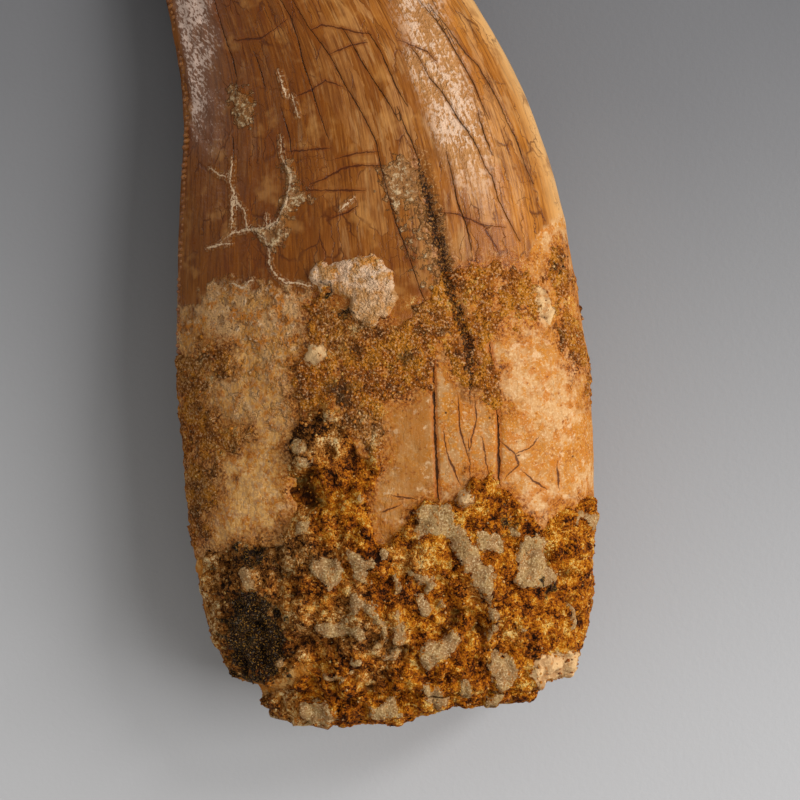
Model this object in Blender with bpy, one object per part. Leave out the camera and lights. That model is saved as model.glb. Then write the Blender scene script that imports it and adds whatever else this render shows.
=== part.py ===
"""Fossil tooth of Carcharodontosaurus with its root end and the sandstone stuck to it.

The tooth lies on its inner face with the outer face up. +Y runs from the broken root end to
the tip, +X points to the convex front edge, and +Z is up. The origin is the middle of the
tooth's box, on the ground. It is one fossilised piece, so it is one closed solid.
"""

import bpy
import numpy as np

MM = 0.001  # every length below is in millimetres and becomes metres in the mesh

# Driving dimensions
HALF_OUTER = 9.5  # from the middle plane to the crest of the outer face, at the root
HALF_INNER = 8.6  # and to the crest of the inner face
PLUG_DROP = 4.6  # how far the sandstone plug stands out of the broken root end
CRUST_RISE = 0.3  # mean rise of the sandy crust round the root end
CREST = 0.60  # where the faces are thickest, from the rear edge (0) to the front edge (1)

# Rows from the root end to the tip. Each joins a point of the rear edge to a point of the
# front edge, so the rows fan out as the crown curves back.
# rear x, rear y, front x, front y, share of the thickness, lift, rear blade, front blade
ROWS = (
    (-14.4, 4.7, 17.0, 5.3, 0.85, 1.4, 0.50, 0.42),
    (-16.2, 8.0, 18.4, 8.2, 0.93, 0.8, 0.54, 0.42),
    (-17.7, 15.2, 19.0, 15.2, 0.98, 0.6, 0.60, 0.44),
    (-18.6, 24.2, 19.1, 24.0, 1.00, 0.6, 0.66, 0.46),
    (-19.3, 33.2, 18.5, 33.6, 0.99, 0.7, 0.72, 0.48),
    (-19.1, 41.4, 16.9, 42.8, 0.96, 0.8, 0.80, 0.50),
    (-18.8, 49.4, 14.8, 52.2, 0.90, 0.8, 0.86, 0.54),
    (-18.7, 57.6, 10.8, 61.8, 0.81, 0.7, 0.90, 0.58),
    (-20.3, 66.6, 3.6, 72.4, 0.68, 0.5, 0.92, 0.64),
    (-23.0, 75.2, -5.2, 81.2, 0.53, 0.2, 0.94, 0.72),
    (-25.6, 83.6, -14.4, 88.6, 0.37, -0.1, 0.95, 0.78),
    (-28.0, 91.2, -22.4, 93.8, 0.21, -0.1, 0.90, 0.76),
    (-29.6, 96.4, -28.0, 97.2, 0.08, 0.3, 0.60, 0.55),
)
TIP_CAP = 0.5  # how far the rounded point runs past the last row

# Rings that close the root end: share of the last row's size, and how far down the end
# they lie as a share of PLUG_DROP. The plug of sandstone fills the hollow of the root.
END_RINGS = (
    (0.985, 0.08),
    (0.95, 0.17),
    (0.90, 0.20),
    (0.85, 0.26),
    (0.825, 0.45),
    (0.81, 0.68),
    (0.77, 0.86),
    (0.66, 0.96),
    (0.49, 1.00),
    (0.31, 1.00),
    (0.14, 0.98),
)
PLUG_RIGHT_RISE = 1.7  # the plug ends higher on its front half than on its rear half

# Where the root shows bare, as outlines on the outer face
BARE_FRONT = (
    (9.1, 36.1), (11.4, 36.5), (15.1, 35.1), (17.8, 31.9), (19.6, 26.9),
    (19.6, 21.3), (16.0, 18.6), (13.2, 19.5), (11.4, 22.3), (10.2, 25.9),
)
BARE_REAR = (
    (-15.1, 24.1), (-12.5, 25.9), (-8.8, 25.9), (-9.3, 23.2), (-9.1, 16.7),
    (-13.4, 16.5), (-16.7, 15.6), (-15.7, 19.5),
)
BARE_MIDDLE = (
    (-0.1, 29.6), (1.6, 32.4), (4.3, 33.5), (10.0, 33.0), (10.4, 24.0),
    (8.6, 20.8), (4.3, 20.4), (1.7, 20.0), (-0.3, 23.2),
)
# Raised sediment on the outer face: outline and rise
RAISED_PATCHES = (
    (((-7.2, 41.8), (-3.8, 42.7), (-1.5, 43.3), (-0.1, 42.7), (0.8, 41.1), (1.1, 39.3),
      (0.2, 37.2), (-1.3, 36.5), (-2.9, 37.7), (-5.6, 39.7)), 0.85),
    (((2.9, 19.0), (4.0, 20.1), (5.7, 20.1), (6.3, 18.8), (7.7, 17.7), (9.1, 14.9),
      (9.8, 13.5), (9.1, 11.2), (7.3, 14.0), (5.9, 16.3), (3.6, 17.2)), 0.75),
    (((12.3, 16.7), (13.7, 17.2), (15.3, 13.1), (11.9, 12.6)), 0.6),
    (((6.3, 41.8), (11.0, 42.4), (14.8, 41.0), (14.6, 37.6), (8.0, 37.2)), 0.45),
    (((15.0, 43.6), (16.6, 45.8), (18.6, 41.0), (19.4, 33.6), (17.4, 34.2), (15.6, 38.4)), 0.5),
)
# Sediment that clings to the inner face, where it rests on the ground
KNOBS = (
    # x, y, radius, rise
    (-6.5, 9.5, 5.5, 2.0),
    (11.5, 12.0, 5.5, 1.5),
    (10.0, 31.5, 6.0, 1.3),
    (-9.0, 28.0, 4.0, 0.9),
)
BARE_INNER = (
    ((-15.0, 36.0), (-5.0, 39.5), (2.0, 36.5), (3.0, 24.0), (-3.0, 19.5), (-14.5, 21.0)),
    ((8.0, 26.5), (17.5, 27.5), (18.6, 19.0), (12.0, 17.5), (7.0, 19.0)),
)
# The worn crack that runs down the outer face from the crown into the root
GROOVE = ((0.8, 50.3), (2.7, 46.6), (4.0, 43.4), (5.4, 39.7), (6.3, 36.1), (7.7, 31.5))
GROOVE_HALF_WIDTH = 0.9
GROOVE_DEPTH = 0.7
NOTCH = (-19.6, 33.2)  # a chip in the rear edge
NOTCH_RADIUS = 1.3
NOTCH_DEPTH = 0.5

# Lumps of the crust
LUMP_SIZES = (5.2, 2.9)  # distance from lump to lump
LUMP_RISES = (1.3, 0.8)
THIN_RISE = 0.2  # and of the thin crust between it and the crown
LUMP_MEAN = 0.6  # mean height of the lumps, which leaves the form's size as it is
CRUST_TOP = 17.2  # the thick crust ends here on the outer face
CRUST_TOP_INNER = 19.0
CRUST_WAVE = 1.4  # and its edge wanders this much
ENAMEL_END = 41.0  # the smooth crown begins here
CALM_RINGS = 6  # the relief dies down over these rings towards the middle of the plug
STAIN_GRIT = 0.22  # unevenness of the thin crust between the crown and the root end

# Fineness of the mesh
ROUND = 58  # points round each row
ROOT_ROWS = 43  # rows up to the crown
CROWN_ROWS = 24
CROWN_START = 5.2  # row of the table where the coarser rows begin
EDGE_STRIDE = 0.034  # longer steps round the edges, so that the faces get more points
SMALLEST = 1e-9

TOOTH_COLOUR = (0.36, 0.19, 0.08, 1.0)


def smooth_step(low, high, value):
    """Rises from 0 at low to 1 at high with soft ends."""
    share = np.clip((value - low) / (high - low), 0.0, 1.0)
    return share * share * (3.0 - 2.0 * share)


def cell_value(cells, seed):
    """Gives each whole-numbered cell its own steady value from 0 to 1."""
    mask = 0xFFFFFFFF
    mixed = cells[..., 0] * 374761393 + cells[..., 1] * 668265263
    mixed = (mixed + cells[..., 2] * 1274126177 + seed * 974634777) & mask
    mixed = ((mixed ^ (mixed >> 13)) * 1274126177) & mask
    mixed = mixed ^ (mixed >> 16)
    return mixed / (mask + 1.0)


def soft_noise(points, size, seed):
    """Smooth noise from -1 to 1 whose hills are about size apart."""
    scaled = points / size
    cells = np.floor(scaled).astype(np.int64)
    share = scaled - cells
    share = share * share * (3.0 - 2.0 * share)
    total = np.zeros(points.shape[:-1])
    for corner in np.ndindex(2, 2, 2):
        offset = np.array(corner)
        weight = np.prod(np.where(offset == 1, share, 1.0 - share), axis=-1)
        total += weight * cell_value(cells + offset, seed)
    return 2.0 * total - 1.0


def lumps(points, size, seed):
    """Rounded lumps about size apart: 1 on a lump's top, 0 in the creases between lumps."""
    scaled = points / size
    cells = np.floor(scaled).astype(np.int64)
    nearest = np.full(points.shape[:-1], np.inf)
    for corner in np.ndindex(3, 3, 3):
        home = cells + np.array(corner) - 1
        jitter = np.stack([cell_value(home, seed + k) for k in range(3)], axis=-1)
        gap = scaled - (home + 0.1 + 0.8 * jitter)
        nearest = np.minimum(nearest, np.sum(gap * gap, axis=-1))
    return np.clip(1.0 - nearest / 0.75, 0.0, 1.0)


def depth_inside(outline, x, y):
    """Distance to an outline, positive inside it and negative outside."""
    nearest = np.full(x.shape, np.inf)
    inside = np.zeros(x.shape, dtype=bool)
    for (ax, ay), (bx, by) in zip(outline, outline[1:] + outline[:1]):
        along = ((x - ax) * (bx - ax) + (y - ay) * (by - ay)) / ((bx - ax) ** 2 + (by - ay) ** 2)
        along = np.clip(along, 0.0, 1.0)
        nearest = np.minimum(nearest, np.hypot(x - ax - along * (bx - ax), y - ay - along * (by - ay)))
        if ay != by:
            crosses = (ay > y) != (by > y)
            inside ^= crosses & (x < ax + (y - ay) * (bx - ax) / (by - ay))
    return np.where(inside, nearest, -nearest)


def distance_to_line(line, x, y):
    """Distance to the nearest point of an open line."""
    nearest = np.full(x.shape, np.inf)
    for (ax, ay), (bx, by) in zip(line, line[1:]):
        along = ((x - ax) * (bx - ax) + (y - ay) * (by - ay)) / ((bx - ax) ** 2 + (by - ay) ** 2)
        along = np.clip(along, 0.0, 1.0)
        nearest = np.minimum(nearest, np.hypot(x - ax - along * (bx - ax), y - ay - along * (by - ay)))
    return nearest


def row_values(place):
    """Values of the table of rows at a place between two rows, on a smooth curve."""
    rows = np.array(ROWS)
    last = len(rows) - 1
    index = min(int(place), last - 1)
    share = place - index
    before, start, end, after = (rows[min(max(k, 0), last)] for k in range(index - 1, index + 3))
    bend = 2 * start + (end - before) * share
    bend = bend + (2 * before - 5 * start + 4 * end - after) * share**2
    return 0.5 * (bend + (3 * start - before - 3 * end + after) * share**3)


def section(place, turn):
    """Points of one row. turn runs round it: 0 is the rear edge, 0.5 the front edge."""
    rear_x, rear_y, front_x, front_y, share, lift, rear_blade, front_blade = row_values(place)
    angle = turn * 2.0 * np.pi
    swing = np.cos(angle)
    across = np.where(swing > 0, CREST - CREST * swing, CREST - (1.0 - CREST) * swing)
    blade = rear_blade + (front_blade - rear_blade) * smooth_step(0.15, 0.85, across)
    height = np.abs(np.sin(angle)) ** (2.0 * blade)
    outer = np.sin(angle) > 0
    middle = HALF_INNER * share + lift
    z = np.where(outer, middle + HALF_OUTER * share * height, middle - HALF_INNER * share * height)
    x = rear_x + (front_x - rear_x) * across
    y = rear_y + (front_y - rear_y) * across
    return np.stack([x, y, z], axis=-1)


def end_ring(ring, share, drop):
    """The last row drawn in towards its middle and pushed out of the root end."""
    middle = ring.mean(axis=0)
    drawn = middle + (ring - middle) * share
    front_half = smooth_step(1.0, 4.5, drawn[:, 0])
    plug = smooth_step(0.3, 0.9, drop)
    drawn[:, 1] -= PLUG_DROP * drop - plug * PLUG_RIGHT_RISE * front_half
    return drawn


def base_surface(turns, places):
    """Every ring of points from the plug to the point of the tooth, before any relief."""
    rings = [section(place, turns) for place in places]
    end = [end_ring(rings[0], share, drop) for share, drop in reversed(END_RINGS)]
    return np.array(end + rings)


def surface_normals(grid):
    """Outward directions of a grid of rings."""
    around = np.roll(grid, -1, axis=1) - np.roll(grid, 1, axis=1)
    along = np.gradient(grid, axis=0)
    normal = np.cross(around, along)
    return normal / np.maximum(np.linalg.norm(normal, axis=-1, keepdims=True), SMALLEST)


def relief(grid, normal):
    """How far each point stands out of the plain form, in millimetres."""
    x, y = grid[..., 0], grid[..., 1]
    outer = smooth_step(-0.25, 0.25, normal[..., 2])
    wander = CRUST_WAVE * soft_noise(grid, 6.0, 11)
    top = CRUST_TOP_INNER + (CRUST_TOP - CRUST_TOP_INNER) * outer
    thick = 1.0 - smooth_step(top - 0.7, top + 0.9, y + wander)

    bare_outer = np.maximum(depth_inside(BARE_FRONT, x, y), depth_inside(BARE_REAR, x, y))
    bare_outer = np.maximum(bare_outer, depth_inside(BARE_MIDDLE, x, y))
    bare_inner = np.maximum(*(depth_inside(outline, x, y) for outline in BARE_INNER))
    bare = smooth_step(-0.6, 0.5, np.where(outer > 0.5, bare_outer, bare_inner))
    root = 1.0 - smooth_step(ENAMEL_END - 2.0, ENAMEL_END + 2.5, y + wander)
    thin = root * (1.0 - thick) * (1.0 - bare)

    end_calm = np.clip(np.arange(grid.shape[0]) / CALM_RINGS, 0.25, 1.0)[:, None]
    total = thick * CRUST_RISE + thin * THIN_RISE
    for size, rise, seed in zip(LUMP_SIZES, LUMP_RISES, (21, 31)):
        lump = lumps(grid, size, seed) - LUMP_MEAN
        total += rise * lump * (thick + 0.3 * thin)
    total *= end_calm
    total += STAIN_GRIT * soft_noise(grid, 1.9, 41) * (thin + thick)
    total += 0.16 * soft_noise(grid, 9.0, 43)

    for outline, rise in RAISED_PATCHES:
        total += outer * rise * smooth_step(-0.45, 0.55, depth_inside(outline, x, y))
    for knob_x, knob_y, radius, rise in KNOBS:
        dome = np.clip(1.0 - ((x - knob_x) ** 2 + (y - knob_y) ** 2) / radius**2, 0.0, 1.0)
        total += (1.0 - outer) * rise * dome

    groove = 1.0 - smooth_step(0.1, GROOVE_HALF_WIDTH, distance_to_line(GROOVE, x, y))
    total -= outer * GROOVE_DEPTH * groove
    chip = np.hypot(x - NOTCH[0], y - NOTCH[1])
    total -= NOTCH_DEPTH * (1.0 - smooth_step(0.2, NOTCH_RADIUS, chip))
    return total


def tooth_points():
    """The finished rings of points and the two points that close them, in millimetres."""
    turns = (np.arange(ROUND) + 0.5) / ROUND
    turns = turns + EDGE_STRIDE * np.sin(4.0 * np.pi * turns)
    last = len(ROWS) - 1
    lower = np.linspace(0.0, CROWN_START, ROOT_ROWS, endpoint=False)
    upper = np.linspace(CROWN_START, last, CROWN_ROWS)
    grid = base_surface(turns, np.concatenate([lower, upper]))
    normal = surface_normals(grid)
    grid = grid + normal * relief(grid, normal)[..., None]
    grid[..., 2] = np.maximum(grid[..., 2], 0.0)
    bottom = grid[0].mean(axis=0)
    tip = grid[-1].mean(axis=0)
    heading = tip - grid[-3].mean(axis=0)
    tip = tip + TIP_CAP * heading / np.linalg.norm(heading)
    tip[2] = max(tip[2], 0.0)
    return grid, bottom, tip


def tooth_mesh():
    """Joins the rings into one closed skin, centred over the origin."""
    grid, bottom, tip = tooth_points()
    rings, around, _ = grid.shape
    points = np.concatenate([grid.reshape(-1, 3), bottom[None], tip[None]])
    low, high = points.min(axis=0), points.max(axis=0)
    points -= np.array([(low[0] + high[0]) / 2, (low[1] + high[1]) / 2, low[2]])
    bottom_index, tip_index = rings * around, rings * around + 1
    faces = []
    for row in range(rings - 1):
        for k in range(around):
            a = row * around + k
            b = row * around + (k + 1) % around
            faces.append((a, b, b + around))
            faces.append((a, b + around, a + around))
    for k in range(around):
        after = (k + 1) % around
        faces.append((after, k, bottom_index))
        top = (rings - 1) * around
        faces.append((top + k, top + after, tip_index))
    mesh = bpy.data.meshes.new("tooth")
    mesh.from_pydata((points * MM).tolist(), [], faces)
    mesh.validate()
    mesh.shade_smooth()
    return mesh


def fossil_material():
    """Amber enamel and rusty sandstone, taken together."""
    material = bpy.data.materials.new("fossil_tooth")
    material.use_nodes = True
    shader = material.node_tree.nodes["Principled BSDF"]
    shader.inputs["Base Color"].default_value = TOOTH_COLOUR
    shader.inputs["Roughness"].default_value = 0.55
    shader.inputs["Metallic"].default_value = 0.0
    return material


def build():
    for old in list(bpy.data.objects):
        bpy.data.objects.remove(old, do_unlink=True)
    tooth = bpy.data.objects.new("tooth", tooth_mesh())
    tooth.data.materials.append(fossil_material())
    bpy.context.scene.collection.objects.link(tooth)


build()
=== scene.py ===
"""Looks of a fossil carcharodontosaurus tooth: amber enamel, worn dentine and rusty sandstone.

The tooth lies on its inner face, outer face up, with its point towards +Y and its convex
front edge towards +X. Lengths are in millimetres until a mesh is made, in two frames: the
form frame of the table of rows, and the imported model's own frame.
"""
from math import cos, pi, radians, sin
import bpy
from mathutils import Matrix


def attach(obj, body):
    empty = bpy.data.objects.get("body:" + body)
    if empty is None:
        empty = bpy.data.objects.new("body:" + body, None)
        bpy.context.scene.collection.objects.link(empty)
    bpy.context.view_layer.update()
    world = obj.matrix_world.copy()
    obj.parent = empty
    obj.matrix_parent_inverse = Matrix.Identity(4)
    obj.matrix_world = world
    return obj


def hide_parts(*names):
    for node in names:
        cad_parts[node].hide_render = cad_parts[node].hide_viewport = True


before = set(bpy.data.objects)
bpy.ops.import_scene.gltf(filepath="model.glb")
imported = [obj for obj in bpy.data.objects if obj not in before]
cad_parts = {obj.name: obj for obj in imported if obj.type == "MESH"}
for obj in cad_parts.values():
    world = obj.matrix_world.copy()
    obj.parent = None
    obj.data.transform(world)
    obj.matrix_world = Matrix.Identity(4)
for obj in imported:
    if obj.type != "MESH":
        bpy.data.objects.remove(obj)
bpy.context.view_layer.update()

from types import SimpleNamespace

import bpy
import numpy as np
from mathutils import Vector

MM = 0.001
FORM_TO_FRAME = np.array([4.987, -48.580, 0.0])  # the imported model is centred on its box

# The form, as in the solid
HALF_OUTER = 9.5  # middle plane to the crest of the outer face, at the root
HALF_INNER = 8.6
PLUG_DROP = 4.6  # the sandstone plug stands this far out of the root end
CREST = 0.60  # where the faces are thickest, rear edge 0, front edge 1
# rear x, rear y, front x, front y, share of thickness, lift, rear blade, front blade
ROWS = np.array((
    (-14.4, 4.7, 17.0, 5.3, 0.85, 1.4, 0.50, 0.42),
    (-16.2, 8.0, 18.4, 8.2, 0.93, 0.8, 0.54, 0.42),
    (-17.7, 15.2, 19.0, 15.2, 0.98, 0.6, 0.60, 0.44),
    (-18.6, 24.2, 19.1, 24.0, 1.00, 0.6, 0.66, 0.46),
    (-19.3, 33.2, 18.5, 33.6, 0.99, 0.7, 0.72, 0.48),
    (-19.1, 41.4, 16.9, 42.8, 0.96, 0.8, 0.80, 0.50),
    (-18.8, 49.4, 14.8, 52.2, 0.90, 0.8, 0.86, 0.54),
    (-18.7, 57.6, 10.8, 61.8, 0.81, 0.7, 0.90, 0.58),
    (-20.3, 66.6, 3.6, 72.4, 0.68, 0.5, 0.92, 0.64),
    (-23.0, 75.2, -5.2, 81.2, 0.53, 0.2, 0.94, 0.72),
    (-25.6, 83.6, -14.4, 88.6, 0.37, -0.1, 0.95, 0.78),
    (-28.0, 91.2, -22.4, 93.8, 0.21, -0.1, 0.90, 0.76),
    (-29.6, 96.4, -28.0, 97.2, 0.08, 0.3, 0.60, 0.55),
))
TIP_CAP = 0.5  # the tip's last point lies this far on
TIP_RINGS = 12  # in the direction of this many last rings
# Share of the last row's size, and share of the plug's drop
END_RINGS = np.array((
    (0.14, 0.98), (0.31, 1.00), (0.49, 1.00), (0.66, 0.96), (0.77, 0.86), (0.81, 0.68),
    (0.825, 0.45), (0.85, 0.26), (0.90, 0.20), (0.95, 0.17), (0.985, 0.08), (1.0, 0.0),
))
PLUG_RIGHT_RISE = 1.7
KNOBS = (  # x, y, radius and rise of the sediment under the inner face
    (-6.5, 9.5, 5.5, 2.0), (11.5, 12.0, 5.5, 1.5), (10.0, 31.5, 6.0, 1.3), (-9.0, 28.0, 4.0, 0.9),
)

# The camera of the photograph, and the studio
AIM = np.array([1.29, 29.62, 9.3])  # the point in the middle of the picture, form frame
DISTANCE = 204.4
TILT = radians(4.0)  # the camera stands a little towards the point of the tooth
AHEAD = np.array([0.0, -sin(TILT), -cos(TILT)])
ABOVE = np.array([0.0, cos(TILT), -sin(TILT)])
LENS = 100.0
SENSOR = 36.0
SURROUNDINGS = ("#dedbd6", 0.54)  # colour and strength of the even light from all round
FLOOR_SIDE = 3.0  # metres
STAGE_MIDDLE = (0.005, -0.015, 0.01)  # the lamps face this point, in metres
# Name, place and size in metres, power in watts and colour
LAMPS = (
    ("key_softbox", (0.36, -0.05, 0.33), (0.28, 0.32), 1.75, (1.0, 0.99, 0.97)),
    ("rear_edge_fill", (-0.42, 0.16, 0.10), (0.10, 0.30), 0.22, (1.0, 0.98, 0.94)),
    ("crown_gleam", (0.30, 0.16, 0.26), (0.06, 0.16), 0.7, (1.0, 0.98, 0.96)),
)

# Outlines on the outer face, as the camera sees them
CRUST_EDGE = (
    (-21.7, 15.3), (-16.7, 15.3), (-15.1, 15.8), (-13.6, 16.5), (-11.4, 16.7), (-9.1, 16.7),
    (-9.0, 20.4), (-9.4, 23.2), (-8.6, 25.5), (-7.9, 27.8), (-5.2, 29.2), (-3.1, 25.9),
    (-0.7, 23.4), (-1.3, 21.3), (-1.8, 19.0), (-0.7, 16.3), (0.2, 16.0), (1.5, 17.7),
    (2.8, 19.9), (3.6, 20.4), (5.9, 20.4), (7.4, 21.3), (8.1, 22.4), (9.6, 22.8),
    (11.4, 21.3), (12.3, 20.0), (13.2, 18.6), (14.0, 17.3), (14.8, 17.8), (15.3, 18.9),
    (16.2, 19.7), (17.2, 20.2), (18.1, 20.4), (19.0, 20.6), (23.4, 20.6), (23.4, -7.2),
    (-24.5, -7.2),
)
BAND = (
    (-6.8, 38.8), (-5.6, 39.6), (-3.8, 37.9), (-1.3, 36.2), (1.3, 37.2), (4.0, 38.8),
    (5.0, 39.7), (6.1, 41.8), (7.7, 42.3), (10.5, 42.3), (13.2, 41.8), (14.0, 39.7),
    (14.2, 37.0), (12.3, 36.4), (10.5, 36.4), (9.1, 35.6), (9.6, 33.8), (10.2, 30.5),
    (10.5, 29.2), (8.5, 30.1), (7.0, 30.5), (6.1, 31.9), (5.5, 34.2), (4.6, 34.0),
    (4.4, 31.5), (3.6, 31.0), (1.3, 29.6), (-0.1, 29.4), (-0.4, 25.9), (-0.7, 23.4),
    (-3.1, 25.9), (-5.2, 29.2), (-7.9, 27.8), (-8.8, 29.6), (-8.3, 32.4), (-7.0, 34.2),
    (-7.5, 36.5),
)
REAR_GRIT = (
    (-20.8, 33.0), (-17.9, 33.6), (-17.2, 35.0), (-15.7, 34.7), (-14.2, 34.0), (-14.5, 32.2),
    (-15.7, 31.0), (-16.7, 29.6), (-16.0, 27.8), (-13.9, 26.9), (-12.5, 26.5), (-13.4, 25.5), (-14.8, 24.6),
    (-15.7, 21.3), (-16.4, 18.6), (-17.1, 16.3), (-20.8, 15.3),
)
FRONT_BAND = (
    (15.4, 43.6), (16.0, 43.8), (16.6, 42.3), (16.7, 40.7), (17.4, 37.9), (18.1, 35.1),
    (19.0, 32.8), (19.7, 29.6), (18.6, 29.6), (17.7, 32.4), (16.5, 34.2), (15.6, 35.6),
    (15.3, 36.5), (15.6, 37.9), (15.0, 39.7), (14.6, 41.6),
)
CROWN_EDGE = (  # the height of the crown's lower border at places across the outer face
    (-21.0, 36.3), (-17.8, 36.8), (-16.0, 39.2), (-8.0, 39.4), (-3.0, 38.2), (-1.5, 36.5),
    (3.8, 36.3), (5.0, 41.3), (12.6, 42.0), (14.4, 45.8), (20.0, 46.6),
)
CREAM_PATCH = (
    (-7.4, 41.6), (-6.3, 42.3), (-3.8, 42.7), (-1.3, 43.3), (-0.1, 42.8), (0.7, 41.6),
    (1.1, 39.7), (0.6, 37.4), (-1.0, 36.5), (-2.6, 37.2), (-3.3, 38.8), (-5.2, 39.7),
    (-7.0, 40.2),
)
CLAY = (
    ((3.1, 20.1), (3.7, 20.2), (4.9, 20.3), (5.8, 20.1), (6.1, 19.4), (6.2, 18.6), (7.0, 18.0),
     (7.6, 17.4), (7.8, 16.9), (8.4, 16.0), (8.7, 15.0), (9.3, 14.5), (9.7, 14.1), (9.7, 13.0),
     (9.6, 12.0), (9.3, 11.1), (8.9, 11.6), (8.4, 12.3), (8.0, 13.0), (7.5, 13.8), (7.0, 14.2),
     (6.8, 15.0), (6.2, 15.8), (5.8, 16.7), (4.9, 17.2), (4.2, 17.4), (3.6, 17.2), (3.0, 16.6),
     (2.6, 17.2), (2.8, 18.2), (2.8, 19.1)),
    ((8.0, 17.0), (8.6, 17.7), (9.4, 17.5), (10.3, 17.3), (10.9, 16.7), (10.8, 15.8),
     (10.2, 15.5), (9.3, 15.7), (8.6, 15.9), (8.3, 16.4)),
    ((12.2, 17.0), (12.8, 17.2), (13.7, 17.2), (14.3, 17.2), (14.3, 16.4), (14.6, 15.5),
     (15.0, 14.5), (15.5, 13.6), (15.6, 13.0), (14.9, 12.6), (14.0, 12.3), (13.0, 12.2),
     (11.9, 12.6), (11.4, 12.8), (11.8, 13.5), (11.9, 14.4), (11.9, 15.2), (12.1, 16.1)),
    ((11.1, 17.9), (11.8, 18.0), (12.3, 17.4), (11.9, 17.0), (11.2, 17.3)),
    ((0.4, 14.1), (1.1, 13.8), (1.4, 13.0), (1.5, 12.3), (1.0, 12.2), (0.6, 12.9)),
    ((1.8, 13.9), (2.8, 14.1), (3.9, 13.8), (4.5, 13.3), (4.5, 12.5), (3.9, 12.0), (3.6, 12.6),
     (2.8, 13.0), (2.1, 13.3)),
    ((2.3, 12.3), (3.0, 12.0), (3.7, 11.4), (4.2, 10.6), (3.9, 9.7), (3.3, 10.0), (2.8, 10.8),
     (2.4, 11.7)),
    ((16.8, 10.8), (17.2, 10.0), (16.8, 8.6), (16.1, 8.5), (16.5, 9.4), (16.4, 10.4)),
    ((9.7, 11.1), (10.1, 10.0), (10.0, 8.6), (9.4, 7.6), (9.1, 7.9), (9.6, 9.1), (9.5, 10.3)),
    ((-7.0, 14.4), (-6.4, 15.2), (-5.4, 15.1), (-4.4, 15.1), (-3.7, 14.5), (-3.8, 13.6),
     (-4.4, 12.7), (-4.9, 12.2), (-5.7, 12.7), (-6.3, 13.3), (-6.8, 13.8)),
    ((-3.3, 16.3), (-2.4, 15.8), (-1.9, 15.2), (-1.3, 15.4), (-0.8, 15.1), (-0.8, 14.4),
     (-1.6, 14.2), (-1.7, 13.3), (-1.3, 12.6), (-2.2, 13.0), (-2.9, 13.6), (-3.3, 14.8)),
    ((-3.2, 12.3), (-2.4, 11.9), (-1.6, 11.7), (-0.8, 10.8), (-0.2, 9.7), (0.2, 8.8),
     (0.3, 7.9), (-0.2, 7.2), (-1.1, 6.7), (-1.6, 7.0), (-0.5, 7.8), (-0.2, 8.5), (-0.8, 9.5),
     (-1.6, 10.2), (-2.3, 10.5), (-2.9, 9.7), (-3.1, 10.7)),
    ((1.1, 10.8), (1.5, 10.4), (1.2, 10.0), (1.8, 9.1), (2.0, 7.9), (1.5, 7.2), (0.6, 7.5),
     (0.8, 8.5), (1.1, 9.4), (0.9, 10.1)),
    ((-3.3, 5.7), (-2.6, 6.4), (-1.9, 6.3), (-2.0, 5.6), (-2.7, 5.4)),
    ((-0.5, 6.1), (0.5, 6.7), (1.4, 6.7), (0.8, 6.1), (-0.1, 5.8)),
    ((-5.8, 4.7), (-4.8, 4.8), (-3.9, 4.7), (-3.0, 4.7), (-3.9, 4.1), (-5.1, 3.9), (-5.7, 4.2)),
    ((-7.5, 1.8), (-6.6, 1.9), (-5.2, 1.6), (-3.8, 0.6), (-5.2, 0.0), (-7.2, 0.4)),
    ((-1.7, 2.0), (-0.8, 1.8), (0.6, 2.3), (1.5, 0.9), (0.6, 0.5), (-0.1, 0.2), (-1.5, 0.6)),
    ((9.6, 6.4), (10.6, 6.0), (11.6, 6.1), (12.1, 4.6), (10.5, 3.5), (9.4, 4.6)),
    ((3.6, 7.9), (4.8, 7.6), (6.1, 8.6), (7.0, 7.9), (6.2, 6.8), (5.0, 5.9), (3.6, 5.0),
     (3.0, 6.2)),
    ((3.4, 3.7), (4.8, 3.6), (5.9, 3.0), (5.4, 2.2), (3.8, 2.3)),
    ((-7.9, 24.8), (-6.8, 25.0), (-6.3, 23.9), (-7.2, 23.2), (-7.9, 23.7)),
)
ROOT_RIM = (
    (-17.3, 15.7), (-16.8, 15.7), (-16.5, 14.8), (-16.6, 12.7), (-16.4, 10.7), (-15.9, 8.6),
    (-15.5, 6.9), (-14.6, 5.4), (-13.4, 4.4), (-11.5, 3.9), (-10.1, 3.9), (-8.9, 4.8),
    (-7.7, 5.6), (-6.8, 5.4), (-7.0, 4.4), (-7.7, 4.1), (-8.9, 3.4), (-10.1, 2.5), (-13.4, 2.6),
    (-15.6, 3.9), (-16.8, 6.3), (-17.4, 9.8), (-17.6, 12.7),
)
PALE_SPOTS = (
    ((6.8, 21.3), (7.7, 21.3), (7.9, 20.4), (7.0, 19.9), (6.3, 20.4)),
    ((-7.4, 34.4), (-5.9, 34.6), (-5.3, 33.7), (-6.3, 32.8), (-7.2, 33.1)),
    ((13.6, 40.2), (14.9, 39.7), (15.5, 37.4), (15.1, 36.4), (14.2, 37.2)),
    ((0.6, 51.2), (2.4, 51.9), (2.9, 50.2), (1.7, 48.9), (0.9, 49.3)),
    ((14.0, 6.2), (16.0, 6.8), (18.6, 6.4), (18.4, 5.0), (16.0, 4.2), (13.2, 4.0), (12.8, 5.0)),
)
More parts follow.
